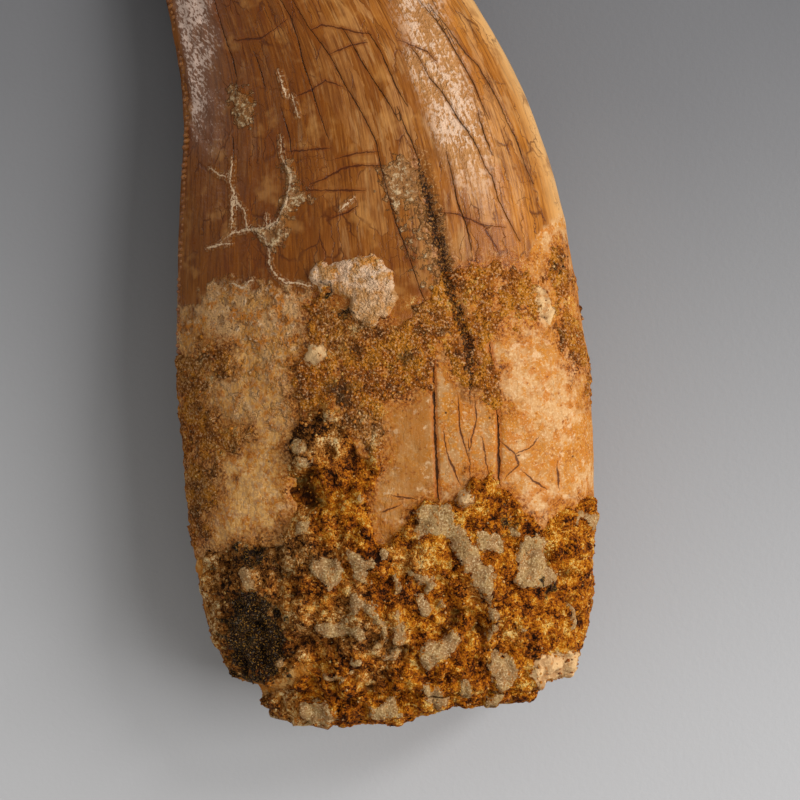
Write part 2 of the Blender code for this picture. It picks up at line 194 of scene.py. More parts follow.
BLACK = (
    ((-13.4, 12.6), (-11.4, 12.3), (-9.6, 10.3), (-8.8, 7.5), (-9.4, 4.8), (-11.4, 3.5),
     (-13.8, 4.0), (-14.7, 6.6), (-14.4, 9.8)),
    ((-13.8, 16.3), (-11.8, 16.5), (-10.9, 15.1), (-12.3, 13.8), (-13.4, 14.7)),
    ((10.1, 19.3), (11.4, 19.1), (11.6, 18.0), (10.5, 17.8)),
    ((14.6, 13.1), (15.6, 12.9), (15.6, 12.0), (14.7, 12.0)),
    ((-5.6, 40.3), (-4.6, 40.1), (-4.8, 39.2), (-5.5, 39.2)),
    ((15.3, 43.2), (16.2, 42.9), (16.2, 41.8), (15.5, 41.8)),
    ((-4.2, 38.8), (-3.1, 38.3), (-3.3, 37.2), (-4.2, 37.5)),
)
AMBER_WINDOW = (
    (-0.5, 29.2), (1.3, 29.6), (3.6, 31.0), (4.3, 31.5), (4.3, 20.4), (2.8, 19.9), (1.5, 17.7),
    (0.2, 16.0), (-0.7, 16.3), (-1.8, 19.0), (-1.3, 21.3), (-0.7, 25.9),
)
MOTTLED = (
    (-21.9, 37.3), (-17.7, 37.8), (-15.7, 40.3), (-11.4, 39.8), (-6.4, 39.4), (-7.2, 34.7),
    (-10.7, 34.0), (-13.4, 34.4), (-19.9, 34.4),
)
STAINED = (
    (-15.7, 34.7), (-7.6, 34.7), (-7.9, 25.9), (-13.8, 25.2), (-15.7, 23.2), (-16.4, 29.6),
)
CRUMBS = (
    ((-14.5, 58.1), (-13.5, 58.2), (-12.6, 57.6), (-12.3, 56.4), (-12.5, 55.0), (-13.4, 54.8),
     (-13.8, 55.6), (-14.1, 56.9)),
    ((-9.5, 51.3), (-8.7, 51.3), (-8.4, 50.1), (-8.7, 49.3), (-9.2, 50.0)),
    ((-9.8, 45.9), (-9.7, 46.9), (-9.0, 49.0), (-8.1, 49.3), (-7.5, 48.8), (-7.0, 47.8),
     (-8.1, 47.5), (-9.0, 46.5)),
    ((-12.3, 45.4), (-11.4, 45.6), (-10.6, 45.2), (-9.8, 46.0), (-9.0, 45.2), (-10.1, 43.4),
     (-11.0, 43.8), (-11.4, 44.4)),
    ((-0.4, 50.9), (0.5, 51.2), (1.5, 52.0), (2.6, 50.9), (3.1, 49.0), (2.7, 47.5),
     (1.5, 48.1), (1.1, 46.9), (0.4, 48.1), (-0.2, 49.1)),
)
# Crumbs and rust between the two long cracks above the band
GRITTY_FAN = (
    (2.7, 50.8), (4.1, 49.9), (5.0, 47.6), (5.6, 44.8), (6.1, 42.3), (7.0, 39.7), (3.5, 39.6),
    (2.0, 42.3), (1.1, 44.8), (0.6, 48.4),
)
SMOOTH_SPOT = ((1.1, 37.6), (3.1, 37.9), (4.2, 37.2), (3.9, 35.1), (1.7, 34.7))
DARK_CLOUDS = (  # x, y and radius
    (-4.0, 38.6, 0.8), (-2.7, 34.2, 1.1), (-4.2, 30.4, 1.6), (1.9, 33.6, 1.0),
)
EDGE_NOTCH = (-19.6, 33.2)  # a small chip out of the rear edge
RIB_SLANT = radians(42.0)  # the rear ribs fall this much towards the front edge
STRIP_EDGE = -15.9  # the ribs lie to the rear of this
PHOTO_TOP = 66.4  # the photograph ends at this height
# Heights on the inner face that the thick crust, the thin crust and the root reach
INNER_CRUST_TOP = 19.0
INNER_FILM_TOP = 41.0
INNER_ROOT_TOP = 40.0
TIP_CRACKS = (  # place across the crown, first row and last row of cracks up to the tip
    (0.43, 7.75, 11.4), (0.39, 7.8, 10.2), (0.86, 7.35, 9.8), (0.12, 8.0, 10.6), (0.62, 8.1, 11.2),
)

# Lines on the outer face, as the camera sees them
DARK_CRACKS = (
    ((-8.6, 66.4), (-7.1, 63.9), (-5.9, 62.3), (-5.0, 61.0), (-3.9, 58.8), (-2.8, 57.0),
     (-1.9, 55.4), (-0.9, 53.3), (-0.5, 51.1), (0.2, 48.4), (0.9, 45.9), (1.8, 43.6),
     (2.4, 41.9), (3.1, 39.8), (3.9, 38.1)),
    ((-9.7, 66.4), (-8.8, 64.9), (-8.1, 62.7), (-7.6, 60.5), (-6.9, 58.5), (-6.2, 56.1),
     (-5.4, 53.8)),
    ((-4.0, 63.8), (-3.2, 62.5), (-2.4, 61.0), (-1.2, 59.1), (0.0, 57.3), (1.2, 55.3)),
    ((-1.6, 63.4), (-0.6, 61.9), (0.2, 60.1), (0.9, 58.5), (1.9, 56.8)),
    ((1.1, 56.5), (1.8, 54.6), (2.4, 53.3), (3.0, 51.8)),
    ((2.3, 62.0), (3.0, 61.3), (4.0, 59.3), (4.8, 58.5), (5.8, 57.0), (6.6, 55.6),
     (7.5, 54.4), (8.5, 52.8), (9.0, 51.4), (9.8, 50.1), (10.3, 48.2), (11.2, 46.2),
     (12.2, 44.3)),
    ((3.1, 66.4), (4.4, 64.9), (5.5, 63.4), (6.3, 62.0), (7.3, 60.3), (8.1, 58.8),
     (8.8, 57.0), (9.5, 55.6)),
    ((8.5, 56.1), (9.0, 54.3), (9.8, 52.3)),
    ((4.0, 66.0), (5.5, 64.2), (7.3, 61.7), (8.6, 60.5), (9.6, 58.7), (10.5, 57.0),
     (11.2, 55.3), (12.1, 53.5), (12.8, 51.3), (13.5, 49.6)),
    ((5.6, 52.3), (6.1, 50.0), (6.6, 47.6), (7.3, 45.9), (7.8, 43.5)),
    ((-15.8, 66.4), (-15.3, 64.7), (-14.7, 62.7), (-14.1, 61.0), (-13.7, 59.3), (-13.8, 57.6)),
    ((-12.1, 61.6), (-11.5, 59.8), (-11.1, 58.2)),
    ((-9.6, 56.3), (-8.9, 53.9), (-8.7, 52.3)),
    ((-14.1, 53.8), (-14.0, 51.8)),
)
SLAT_CRACKS = (
    ((4.3, 34.5), (4.4, 30.5), (4.5, 26.7), (4.7, 23.0), (4.8, 20.5)),
    ((9.6, 34.7), (9.9, 31.5), (10.3, 28.2), (10.4, 23.7), (10.4, 22.0)),
    ((-19.6, 32.8), (-18.7, 33.0), (-17.9, 33.4)),
)
RUST_LINES = (
    ((8.8, 26.2), (9.2, 23.7), (9.6, 22.5)),
    ((5.3, 26.7), (5.6, 24.7), (6.3, 23.0), (6.8, 21.8)),
    ((8.1, 30.0), (8.3, 27.8), (7.8, 26.0), (7.6, 24.7), (7.7, 22.5)),
    ((6.6, 30.1), (6.8, 26.7), (7.4, 24.8), (7.8, 23.7)),
    ((-6.7, 63.7), (-5.9, 64.1), (-4.1, 63.8), (-2.7, 63.4), (-1.5, 63.3)),
    ((-13.8, 62.7), (-11.4, 62.9), (-9.2, 64.5)),
    ((-8.1, 57.6), (-6.9, 58.1), (-5.6, 59.0), (-4.1, 58.5)),
    ((-5.0, 61.5), (-3.4, 62.2), (-1.9, 62.5)),
    ((-8.9, 52.5), (-7.1, 52.6), (-5.2, 52.8)),
    ((-4.7, 51.8), (-2.7, 52.3), (-0.8, 52.5)),
    ((-7.1, 49.4), (-5.6, 50.0), (-4.1, 50.9), (-2.7, 51.2), (-0.6, 51.2)),
    ((-7.4, 48.9), (-4.9, 48.9), (-2.0, 48.9)),
    ((-4.9, 46.4), (-3.5, 46.9), (-2.7, 47.4)),
    ((4.9, 46.9), (6.6, 46.7), (8.1, 46.0), (8.8, 45.7), (10.8, 45.5)),
    ((8.8, 45.7), (9.6, 44.4), (10.2, 43.4)),
    ((1.2, 62.7), (2.6, 62.2), (3.8, 61.7), (4.6, 60.8)),
    ((10.6, 25.7), (11.8, 24.7), (13.2, 25.2), (13.9, 26.1)),
    ((11.8, 24.7), (12.2, 23.7), (11.0, 22.5)),
    ((12.7, 23.0), (13.5, 22.2), (14.7, 21.5)),
    ((15.7, 23.7), (15.9, 21.5)),
    ((0.6, 20.8), (2.6, 20.5)),
    ((-0.4, 19.3), (1.4, 20.0)),
)
VEINS = (
    ((-9.7, 53.8), (-9.6, 52.1), (-9.2, 51.2), (-8.6, 50.3), (-8.8, 49.4), (-9.1, 47.9),
     (-9.6, 46.7), (-10.1, 45.9), (-10.9, 45.4), (-12.1, 45.4), (-12.9, 45.2), (-14.0, 45.0),
     (-14.8, 44.4)),
    ((-12.1, 45.4), (-11.0, 44.3), (-10.6, 43.1), (-10.7, 42.1), (-10.1, 41.1), (-9.2, 40.4),
     (-8.1, 40.4), (-7.0, 40.1)),
    ((-16.3, 43.6), (-15.3, 43.9), (-14.3, 44.0)),
    ((-14.1, 51.8), (-14.3, 49.6), (-13.6, 47.8), (-12.9, 46.9), (-12.8, 45.3)),
    ((-16.1, 50.9), (-15.3, 50.3), (-14.6, 50.1)),
    ((-14.1, 48.9), (-14.1, 45.3)),
    ((-11.0, 46.6), (-10.9, 45.6)),
    ((-4.1, 47.2), (-3.1, 48.1)),
    ((-14.1, 40.3), (-13.2, 39.9), (-12.3, 40.7)),
    ((-9.8, 59.8), (-9.2, 57.6)),
    ((-8.6, 57.6), (-8.1, 55.8)),
)
GROOVES = (
    ((3.0, 51.8), (3.4, 50.0), (3.9, 47.7), (4.5, 45.2), (5.1, 43.1), (5.8, 39.8),
     (6.6, 37.4), (7.5, 35.1), (7.7, 31.9), (7.8, 30.5)),
)

# Fineness of the meshes
TOOTH_AROUND = (196, 98)  # columns on the outer face and on the inner face
TOOTH_ROWS = ((0.0, 1.85, 20), (1.85, 8.0, 232), (8.0, 12.0, 62))  # first row, last row, count
CRUST_AROUND = (212, 118)
CRUST_ROWS = ((0.0, 5.55, 212),)
TOOTH_END_RINGS = 10
PLUG_RINGS = 66
# The crust's upper end closes in rings: share of the last ring, and how far back each lies
CRUST_CLOSING = ((0.97, 0.35), (0.93, 0.4), (0.84, 0.45), (0.6, 0.5), (0.3, 0.5))
SMALLEST = 1e-9  # keeps a length from being zero
CROWN_WIDTH = 38.0  # growth lines are spaced for a crown this wide
FACE_SHIFT = 60.0  # keeps the patterns of the two faces apart
OUT_OF_SIGHT = 5.0  # added to the distance of lines that a face doesn't have

# Serrations: one each 0.55 mm, as in the photograph, wide enough to touch and mostly sunk in
SERRATION_SPACING = 0.55
SERRATION_SIZE = (1.4, 0.68, 1.4)
SERRATION_SINK = 0.66
EDGE_POINTS = 160  # of the line that a row of serrations follows
SERRATED_EDGES = (  # name, turn of the edge, first row, last row, seed
    ("rear_serrations", 0.0, 2.7, 11.9, 1), ("front_serrations", 0.5, 8.2, 11.9, 2),
)
SANDS = (  # name, tones, roughness, grains per square metre, smallest, largest, seed
    ("pale_sand", ("#c28a34", "#dcb468", "#b37018", "#d6b87e", "#a05c10"),
     0.4, 0.40e6, 0.07, 0.16, 3),
    ("rusty_sand", ("#8f4c0c", "#b56810", "#64300a", "#a3580c", "#c07a1c"),
     0.6, 0.9e6, 0.07, 0.18, 5),
    ("dark_sand", ("#3a1c08", "#24140a", "#5a2c0a", "#19110c", "#46260b"),
     0.5, 0.5e6, 0.06, 0.14, 9),
)

ROCK_GRAIN = 0.27  # width of a cemented grain
DOT_SPACING = 1.3  # of the black dots in the dentine
# Tones of the sandstone's grains from dark to pale, at shared levels
ROCK_LEVELS = (0.0, 0.16, 0.34, 0.52, 0.68, 0.84, 1.0)
ORANGE_ROCK = ("#1e0c02", "#4a1f05", "#82410a", "#a4590b", "#bb7112", "#c98f32", "#dcb264")
BROWN_ROCK = ("#180c04", "#42240b", "#6e4218", "#8f5a24", "#a87840", "#c49c6a", "#dac08f")


def smooth_step(low, high, value):
    """Rises from 0 at low to 1 at high with soft ends."""
    share = np.clip((value - low) / (high - low), 0.0, 1.0)
    return share * share * (3.0 - 2.0 * share)


def cell_value(cells, seed):
    """Gives each whole-numbered cell its own steady value from 0 to 1."""
    bits = 0xFFFFFFFF
    mixed = cells[..., 0] * 374761393 + cells[..., 1] * 668265263
    mixed = (mixed + cells[..., 2] * 1274126177 + seed * 974634777) & bits
    mixed = ((mixed ^ (mixed >> 13)) * 1274126177) & bits
    mixed = mixed ^ (mixed >> 16)
    return mixed / (bits + 1.0)


def soft_noise(points, size, seed):
    """Smooth noise from -1 to 1 whose hills are about size apart."""
    scaled = points / size
    cells = np.floor(scaled).astype(np.int64)
    share = scaled - cells
    share = share * share * (3.0 - 2.0 * share)
    total = np.zeros(points.shape[:-1])
    for corner in np.ndindex(2, 2, 2):
        offset = np.array(corner)
        weight = np.prod(np.where(offset == 1, share, 1.0 - share), axis=-1)
        total += weight * cell_value(cells + offset, seed)
    return 2.0 * total - 1.0


def lumps(points, size, seed):
    """Rounded lumps about size apart: 1 on a lump's top, 0 in the creases between lumps."""
    scaled = points / size
    cells = np.floor(scaled).astype(np.int64)
    nearest = np.full(points.shape[:-1], np.inf)
    for corner in np.ndindex(3, 3, 3):
        home = cells + np.array(corner) - 1
        jitter = np.stack([cell_value(home, seed + k) for k in range(3)], axis=-1)
        gap = scaled - (home + 0.1 + 0.8 * jitter)
        nearest = np.minimum(nearest, np.sum(gap * gap, axis=-1))
    return np.clip(1.0 - nearest / 0.75, 0.0, 1.0)


def depth_inside(outline, x, y):
    """Distance to an outline, positive inside it and negative outside."""
    nearest = np.full(x.shape, np.inf)
    inside = np.zeros(x.shape, dtype=bool)
    for (ax, ay), (bx, by) in zip(outline, outline[1:] + outline[:1]):
        along = ((x - ax) * (bx - ax) + (y - ay) * (by - ay)) / ((bx - ax) ** 2 + (by - ay) ** 2)
        along = np.clip(along, 0.0, 1.0)
        nearest = np.minimum(nearest, np.hypot(x - ax - along * (bx - ax), y - ay - along * (by - ay)))
        if ay != by:
            crosses = (ay > y) != (by > y)
            inside ^= crosses & (x < ax + (y - ay) * (bx - ax) / (by - ay))
    return np.where(inside, nearest, -nearest)


def deepest(outlines, x, y):
    """Depth inside whichever of several outlines holds the point."""
    return np.max([depth_inside(outline, x, y) for outline in outlines], axis=0)


def line_field(lines, x, y, taper):
    """For each point: signed and plain distance to the nearest line, and the line's strength.

    The sign changes across a line, so it stays sharp between the points of the mesh. The
    strength falls to taper at both ends of a line.
    """
    best = np.full(x.shape, np.inf)
    signed = np.full(x.shape, 9.0)
    strength = np.zeros(x.shape)
    for line in lines:
        steps = len(line) - 1
        for k in range(steps):
            (ax, ay), (bx, by) = line[k], line[k + 1]
            length = np.hypot(bx - ax, by - ay)
            along = ((x - ax) * (bx - ax) + (y - ay) * (by - ay)) / length**2
            along = np.clip(along, 0.0, 1.0)
            gap = np.hypot(x - ax - along * (bx - ax), y - ay - along * (by - ay))
            side = np.sign((bx - ax) * (y - ay) - (by - ay) * (x - ax))
            nearer = gap < best
            best = np.where(nearer, gap, best)
            signed = np.where(nearer, gap * side, signed)
            place = (k + along) / steps
            swell = taper + (1.0 - taper) * np.minimum(1.0, 4.0 * np.minimum(place, 1.0 - place))
            strength = np.where(nearer, swell, strength)
    return np.stack([signed, best, strength], axis=-1)


def row_values(place):
    """Values of the table of rows at a place between two rows, on a smooth curve."""
    last = len(ROWS) - 1
    index = min(int(place), last - 1)
    share = place - index
    before, start, end, after = (ROWS[min(max(k, 0), last)] for k in range(index - 1, index + 3))
    bend = 2 * start + (end - before) * share
    bend = bend + (2 * before - 5 * start + 4 * end - after) * share**2
    return 0.5 * (bend + (3 * start - before - 3 * end + after) * share**3)


def share_across(turns):
    """Places across a section, 0 at its rear edge and 1 at its front edge."""
    swing = np.cos(turns * 2.0 * pi)
    return np.where(swing > 0, CREST - CREST * swing, CREST - (1.0 - CREST) * swing)


def section(place, turns):
    """Points of one row. A turn runs round it: 0 is the rear edge, 0.5 the front edge."""
    rear_x, rear_y, front_x, front_y, share, lift, rear_blade, front_blade = row_values(place)
    across = share_across(turns)
    turned = np.sin(turns * 2.0 * pi)
    blade = rear_blade + (front_blade - rear_blade) * smooth_step(0.15, 0.85, across)
    height = np.abs(turned) ** (2.0 * blade)
    middle = HALF_INNER * share + lift
    outer_z = middle + HALF_OUTER * share * height
    inner_z = middle - HALF_INNER * share * height
    x = rear_x + (front_x - rear_x) * across
    y = rear_y + (front_y - rear_y) * across
    return np.stack([x, y, np.where(turned > 0, outer_z, inner_z)], axis=-1)


def even_turns(outer_count, inner_count):
    """Turns whose points are evenly spaced on each face, closer on the outer one."""
    fine = np.linspace(0.0, 1.0, 4001)  # the outer face has the first half
    walk = section(3.5, fine)
    run = np.concatenate([[0.0], np.cumsum(np.linalg.norm(np.diff(walk, axis=0), axis=1))])
    half = run[2000]
    outer = np.interp(np.linspace(0.0, half, outer_count, endpoint=False), run, fine)
    inner = np.interp(np.linspace(half, run[-1], inner_count, endpoint=False), run, fine)
    return np.concatenate([outer, inner])


def end_ring(ring, share, drop):
    """The last row drawn in towards its middle and pushed out of the root end."""
    middle = ring.mean(axis=0)
    drawn = middle + (ring - middle) * share
    front_half = smooth_step(1.0, 4.5, drawn[:, 0])
    plug = smooth_step(0.3, 0.9, drop)
    drawn[:, 1] -= PLUG_DROP * drop - plug * PLUG_RIGHT_RISE * front_half
    return drawn


def surface_normals(grid):
    """Outward directions of a grid of rings."""
    around = np.roll(grid, -1, axis=1) - np.roll(grid, 1, axis=1)
    along = np.gradient(grid, axis=0)
    normal = np.cross(around, along)
    return normal / np.maximum(np.linalg.norm(normal, axis=-1, keepdims=True), SMALLEST)


def row_places(spans):
    """Places of rows for spans of (first, last, count)."""
    parts = [np.linspace(a, b, n, endpoint=False) for a, b, n in spans]
    return np.concatenate(parts + [[spans[-1][1]]])


def base_grid(turns, places, rings):
    """Rings of points from the plug upwards, before any relief."""
    first = section(places[0], turns)
    steps = np.linspace(0.0, 1.0, rings, endpoint=False)
    table = np.linspace(0.0, 1.0, len(END_RINGS))
    shares = np.interp(steps, table, END_RINGS[:, 0])
    drops = np.interp(steps, table, END_RINGS[:, 1])
    end = [end_ring(first, share, drop) for share, drop in zip(shares, drops)]
    return np.array(end + [section(place, turns) for place in places])


def seen_place(points):
    """Where form-frame points appear in the picture, in millimetres at the outline's depth."""
    from_camera = points - (AIM - DISTANCE * AHEAD)
    nearness = DISTANCE / (from_camera @ AHEAD)
    return AIM[0] + from_camera[..., 0] * nearness, AIM[1] + (from_camera @ ABOVE) * nearness


def closed_mesh(name, grid, cap_low, cap_high, attributes):
    """One closed skin from rings of points, with its attributes on the points."""
    rings, around, _ = grid.shape
    points = np.concatenate([grid.reshape(-1, 3), cap_low[None], cap_high[None]]) + FORM_TO_FRAME
    a = (np.arange(rings - 1)[:, None] * around + np.arange(around)[None]).ravel()
    b = (np.arange(rings - 1)[:, None] * around + (np.arange(around)[None] + 1) % around).ravel()
    quads = np.stack([a, b, b + around, a + around], axis=1)
    k = np.arange(around)
    low = np.stack([(k + 1) % around, k, np.full(around, rings * around)], axis=1)
    top = (rings - 1) * around
    high = np.stack([top + k, top + (k + 1) % around, np.full(around, rings * around + 1)], axis=1)
    faces = quads.tolist() + low.tolist() + high.tolist()
    mesh = bpy.data.meshes.new(name)
    mesh.from_pydata((points * MM).tolist(), [], faces)
    mesh.validate()
    mesh.shade_smooth()
    for title, values in attributes.items():
        values = values.reshape(rings * around, -1)
        values = np.concatenate([values, values[:1], values[-1:]])
        kind = "FLOAT" if values.shape[1] == 1 else "FLOAT_VECTOR"
        field = mesh.attributes.new(title, kind, "POINT")
        field.data.foreach_set("value" if kind == "FLOAT" else "vector", values.ravel())
    return mesh


def dress(name, mesh, material, stands_for=()):
    """Puts a finished mesh in the scene as a piece of the tooth."""
    piece = bpy.data.objects.new(name, mesh)
    mesh.materials.clear()
    mesh.materials.append(material)
    bpy.context.scene.collection.objects.link(piece)
    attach(piece, "root")
    if stands_for:
        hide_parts(*stands_for)
    return piece


def linear(colour):
    """An sRGB hex colour as linear red, green, blue and alpha."""
    parts = [int(colour[k:k + 2], 16) / 255 for k in (1, 3, 5)]
    return tuple(p / 12.92 if p <= 0.04045 else ((p + 0.055) / 1.055) ** 2.4 for p in parts) + (1.0,)


def add_node(tree, kind, inputs=None, stops=None, **settings):
    """Adds a node, gives it its settings, and fills its sockets with values, hex colours or links."""
    node = tree.nodes.new(kind)
    for name, value in settings.items():
        setattr(node, name, value)
    for key, value in (inputs or {}).items():
        if isinstance(value, bpy.types.NodeSocket):
            tree.links.new(value, node.inputs[key])
        elif isinstance(value, str) and value.startswith("#"):
            node.inputs[key].default_value = linear(value)
        else:
            node.inputs[key].default_value = value
    if stops:
        ramp = node.color_ramp
        while len(ramp.elements) < len(stops):
            ramp.elements.new(1.0)
        for element, (place, colour) in zip(ramp.elements, stops):
            element.position = place
            element.color = linear(colour)
    return node


def start_material(name, roughness, specular=0.5):
    """A material with its shader, and object coordinates in millimetres."""
    material = bpy.data.materials.new(name)
    material.use_nodes = True
    tree = material.node_tree
    shader = tree.nodes["Principled BSDF"]
    shader.inputs["Roughness"].default_value = roughness
    shader.inputs["Specular IOR Level"].default_value = specular
    place = add_node(tree, "ShaderNodeTexCoord").outputs["Object"]
    size = (1 / MM, 1 / MM, 1 / MM)
    place = add_node(tree, "ShaderNodeMapping", {"Vector": place, "Scale": size}).outputs[0]
    return material, tree, shader, place


def kept_fields(tree, title):
    """The three values that the mesh keeps under one title."""
    field = add_node(tree, "ShaderNodeAttribute", attribute_name=title).outputs["Vector"]
    return add_node(tree, "ShaderNodeSeparateXYZ", {0: field}).outputs[:3]


def pattern(tree, place, size, detail=2.0, stretch=(1.0, 1.0, 1.0), shift=0.0):
    """Noise from 0 to 1 whose blotches are size millimetres across, stretched along an axis."""
    scale = tuple(1.0 / (size * s) for s in stretch)
    moved = add_node(tree, "ShaderNodeMapping",
                     {"Vector": place, "Scale": scale, "Location": (shift, shift * 0.7, shift * 1.3)})
    noise = add_node(tree, "ShaderNodeTexNoise",
                     {"Vector": moved.outputs[0], "Scale": 1.0, "Detail": detail, "Roughness": 0.6})
    return noise.outputs["Fac"]


def bent_place(tree, warped, place, scale, detail, strength):
    """Places pushed about by a slow noise of warped, so that cells laid on them look grown."""
    noise = add_node(tree, "ShaderNodeTexNoise", {"Vector": warped, "Scale": scale, "Detail": detail})
    return add_node(tree, "ShaderNodeVectorMath", {0: noise.outputs["Color"], 1: strength, 2: place},
                    operation="MULTIPLY_ADD").outputs[0]


def combined(tree, operation, *values):
    """Values or masks taken together, two at a time, by one operation."""
    total = values[0]
    for value in values[1:]:
        total = add_node(tree, "ShaderNodeMath", {0: total, 1: value}, operation=operation).outputs[0]
    return total


def product(tree, *values):
    """Values or masks multiplied together."""
    return combined(tree, "MULTIPLY", *values)


def weighted(tree, total, *parts):
    """Adds parts to a first value, each a value or mask and its weight."""
    for value, weight in parts:
        total = add_node(tree, "ShaderNodeMath", {0: value, 1: weight, 2: total},
                         operation="MULTIPLY_ADD").outputs[0]
    return total


def mask(tree, value, start, full, most=1.0, least=0.0):
    """A soft-edged mask: least until the value passes start, and most once it reaches full."""
    node = add_node(tree, "ShaderNodeMapRange",
                    {"Value": value, "From Min": start, "From Max": full,
                     "To Min": least, "To Max": most}, interpolation_type="SMOOTHSTEP")
    return node.outputs[0]


def coated(tree, ground, area, *coats):
    """Lays coats of colour over a ground, within an area's mask, or all over if it is None.

    A coat is its strength and colour. Where a pattern places it, the pattern and the values at
    which it starts and is full come first.
    """
    for *where, strength, colour in coats:
        cover = mask(tree, *where, strength) if where else strength
        if area is not None:
            cover = product(tree, area, cover)
        ground = add_node(tree, "ShaderNodeMix", {0: cover, 6: ground, 7: colour},
                          data_type="RGBA").outputs[2]
    return ground


def bumped(tree, shader, parts):
    """Gives the shader relief too fine for the mesh: masks, each with its rise in millimetres."""
    height = weighted(tree, 0.0, *parts)
    bump = add_node(tree, "ShaderNodeBump", {"Height": height, "Distance": MM, "Strength": 1.0})
    tree.links.new(bump.outputs[0], shader.inputs["Normal"])


def drawn_line(tree, title, half_width, place, reach=0.45, ragged=0.30):
    """Masks of a family of lines kept on the mesh, broken a little by noise, and of their surroundings."""
    signed, gap, strength = kept_fields(tree, title)
    wobble = weighted(tree, -0.5 * ragged, (pattern(tree, place, 0.5, 4.0), ragged))
    offset = weighted(tree, signed, (wobble, min(1.0, 2.5 * reach)))
    across = add_node(tree, "ShaderNodeMath", {0: offset}, operation="ABSOLUTE").outputs[0]
    swell = mask(tree, pattern(tree, place, 1.4), 0.3, 0.7, 1.3, 0.5)
    width = product(tree, strength, swell, half_width)
    line = mask(tree, weighted(tree, width, (across, -1.0)), -0.05, 0.05)
    near = mask(tree, gap, reach, reach * 0.6)
    return product(tree, line, near), near


def hairlines(tree, place, scale, region, start, full):
    """Mask of fine cracks between cells of a scale, where a region's noise is high, and the cells."""
    cells = add_node(tree, "ShaderNodeMapping", {"Vector": place, "Scale": scale}).outputs[0]
    edge = add_node(tree, "ShaderNodeTexVoronoi", {"Vector": cells, "Scale": 1.0},
                    feature="DISTANCE_TO_EDGE").outputs["Distance"]
    return product(tree, mask(tree, edge, 0.035, 0.0), mask(tree, region, start, full)), cells


def tooth_look(tree, place):
    """Fields kept on the tooth's mesh, and the patterns that several of its layers share."""
    growth = add_node(tree, "ShaderNodeAttribute", attribute_name="growth").outputs["Vector"]
    across, root, strip = kept_fields(tree, "zones")
    crust_depth, amber, smooth_spot = kept_fields(tree, "covers")
    mottle, sparkle, crumbly = kept_fields(tree, "marks")
    return SimpleNamespace(
        place=place, growth=growth, across=across, root=root, strip=strip, crust_depth=crust_depth,
        amber=amber, smooth_spot=smooth_spot, mottle=mottle, sparkle=sparkle, crumbly=crumbly,
        fibres=pattern(tree, growth, 0.24, 4.0, (1.0, 14.0, 1.0)),
        cloud=pattern(tree, place, 3.0, 3.0, shift=5.0),
        peach=pattern(tree, place, 3.2, 4.0, shift=11.0),
        stain=pattern(tree, place, 1.3, 4.0, shift=17.0),
        grain=pattern(tree, place, 0.20, 2.0, shift=45.0),
        beads=pattern(tree, place, 0.30, 2.0, (1.0, 1.5, 1.0), 61.0),
        rear_half=mask(tree, across, 0.62, 0.40), relief=[])


def amber_enamel(tree, look):
    """Caramel enamel, browner to the rear and orange to the front, with fine growth lines, and a pale front
    edge with a painted rim highlight.
    """
    place, growth, across = look.place, look.growth, look.across
    hue = weighted(tree, -0.18, (pattern(tree, place, 7.0), 0.36), (across, 1.0))
    colour = add_node(tree, "ShaderNodeValToRGB", {0: hue}, stops=(
        (0.0, "#824a0c"), (0.16, "#7d4308"), (0.38, "#80460e"),
        (0.60, "#965b20"), (0.80, "#a86622"), (1.0, "#c47e2a"))).outputs[0]
    # Threads and fibres are drawn several times as wide as real growth lines, which wouldn't show
    threads = pattern(tree, growth, 0.17, 2.0, (1.0, 26.0, 1.0), 6.0)
    streaks = pattern(tree, growth, 1.4, 4.0, (1.0, 4.5, 1.0), 3.0)
    pale_streaks = pattern(tree, growth, 0.7, 4.0, (1.0, 5.0, 1.0), 9.0)
    bent = bent_place(tree, place, growth, 0.9, 3.0, (1.4, 1.4, 0.0))
    hair, cells = hairlines(tree, bent, (0.70, 0.20, 1.0), pattern(tree, place, 4.0, shift=1.0), 0.42, 0.62)
    web, _ = hairlines(tree, bent, (1.1, 0.7, 1.0), pattern(tree, place, 5.0, shift=41.0), 0.50, 0.66)
    panel = add_node(tree, "ShaderNodeTexVoronoi", {"Vector": cells, "Scale": 1.0}).outputs["Color"]
    panel = add_node(tree, "ShaderNodeSeparateXYZ", {0: panel}).outputs[0]
    paler = mask(tree, across, 0.10, 0.70, 1.0, 0.25)
    frontward = mask(tree, across, 0.30, 0.75)
    colour = coated(tree, colour, frontward, (panel, 0.50, 0.54, 0.42, "#bd8a55"))
    colour = coated(tree, colour, None,
                    (panel, 0.30, 0.26, 0.30, "#743806"), (look.fibres, 0.46, 0.66, 0.60, "#5a2a09"),
                    (threads, 0.56, 0.66, 0.55, "#4f2507"))
    colour = coated(tree, colour, paler, (look.fibres, 0.46, 0.30, 0.45, "#c98e4a"))
    colour = coated(tree, colour, None, (streaks, 0.52, 0.68, 0.60, "#6b3208"))
    colour = coated(tree, colour, paler, (pale_streaks, 0.54, 0.70, 0.40, "#c99a63"))
    look.relief += [(look.fibres, 0.035), (streaks, 0.05), (hair, -0.03), (web, -0.025)]
    # The pale front edge is partly paler enamel and partly a painted rim highlight
    return coated(
        tree, colour, None,
        (across, 0.94, 1.0, 0.70, "#e6b472"), (look.cloud, 0.54, 0.70, 0.40, "#c08848"),
        (look.cloud, 0.42, 0.28, 0.45, "#733d0e"), (product(tree, hair, 0.75), "#4c2006"),
        (product(tree, web, 0.6), "#64300c"))


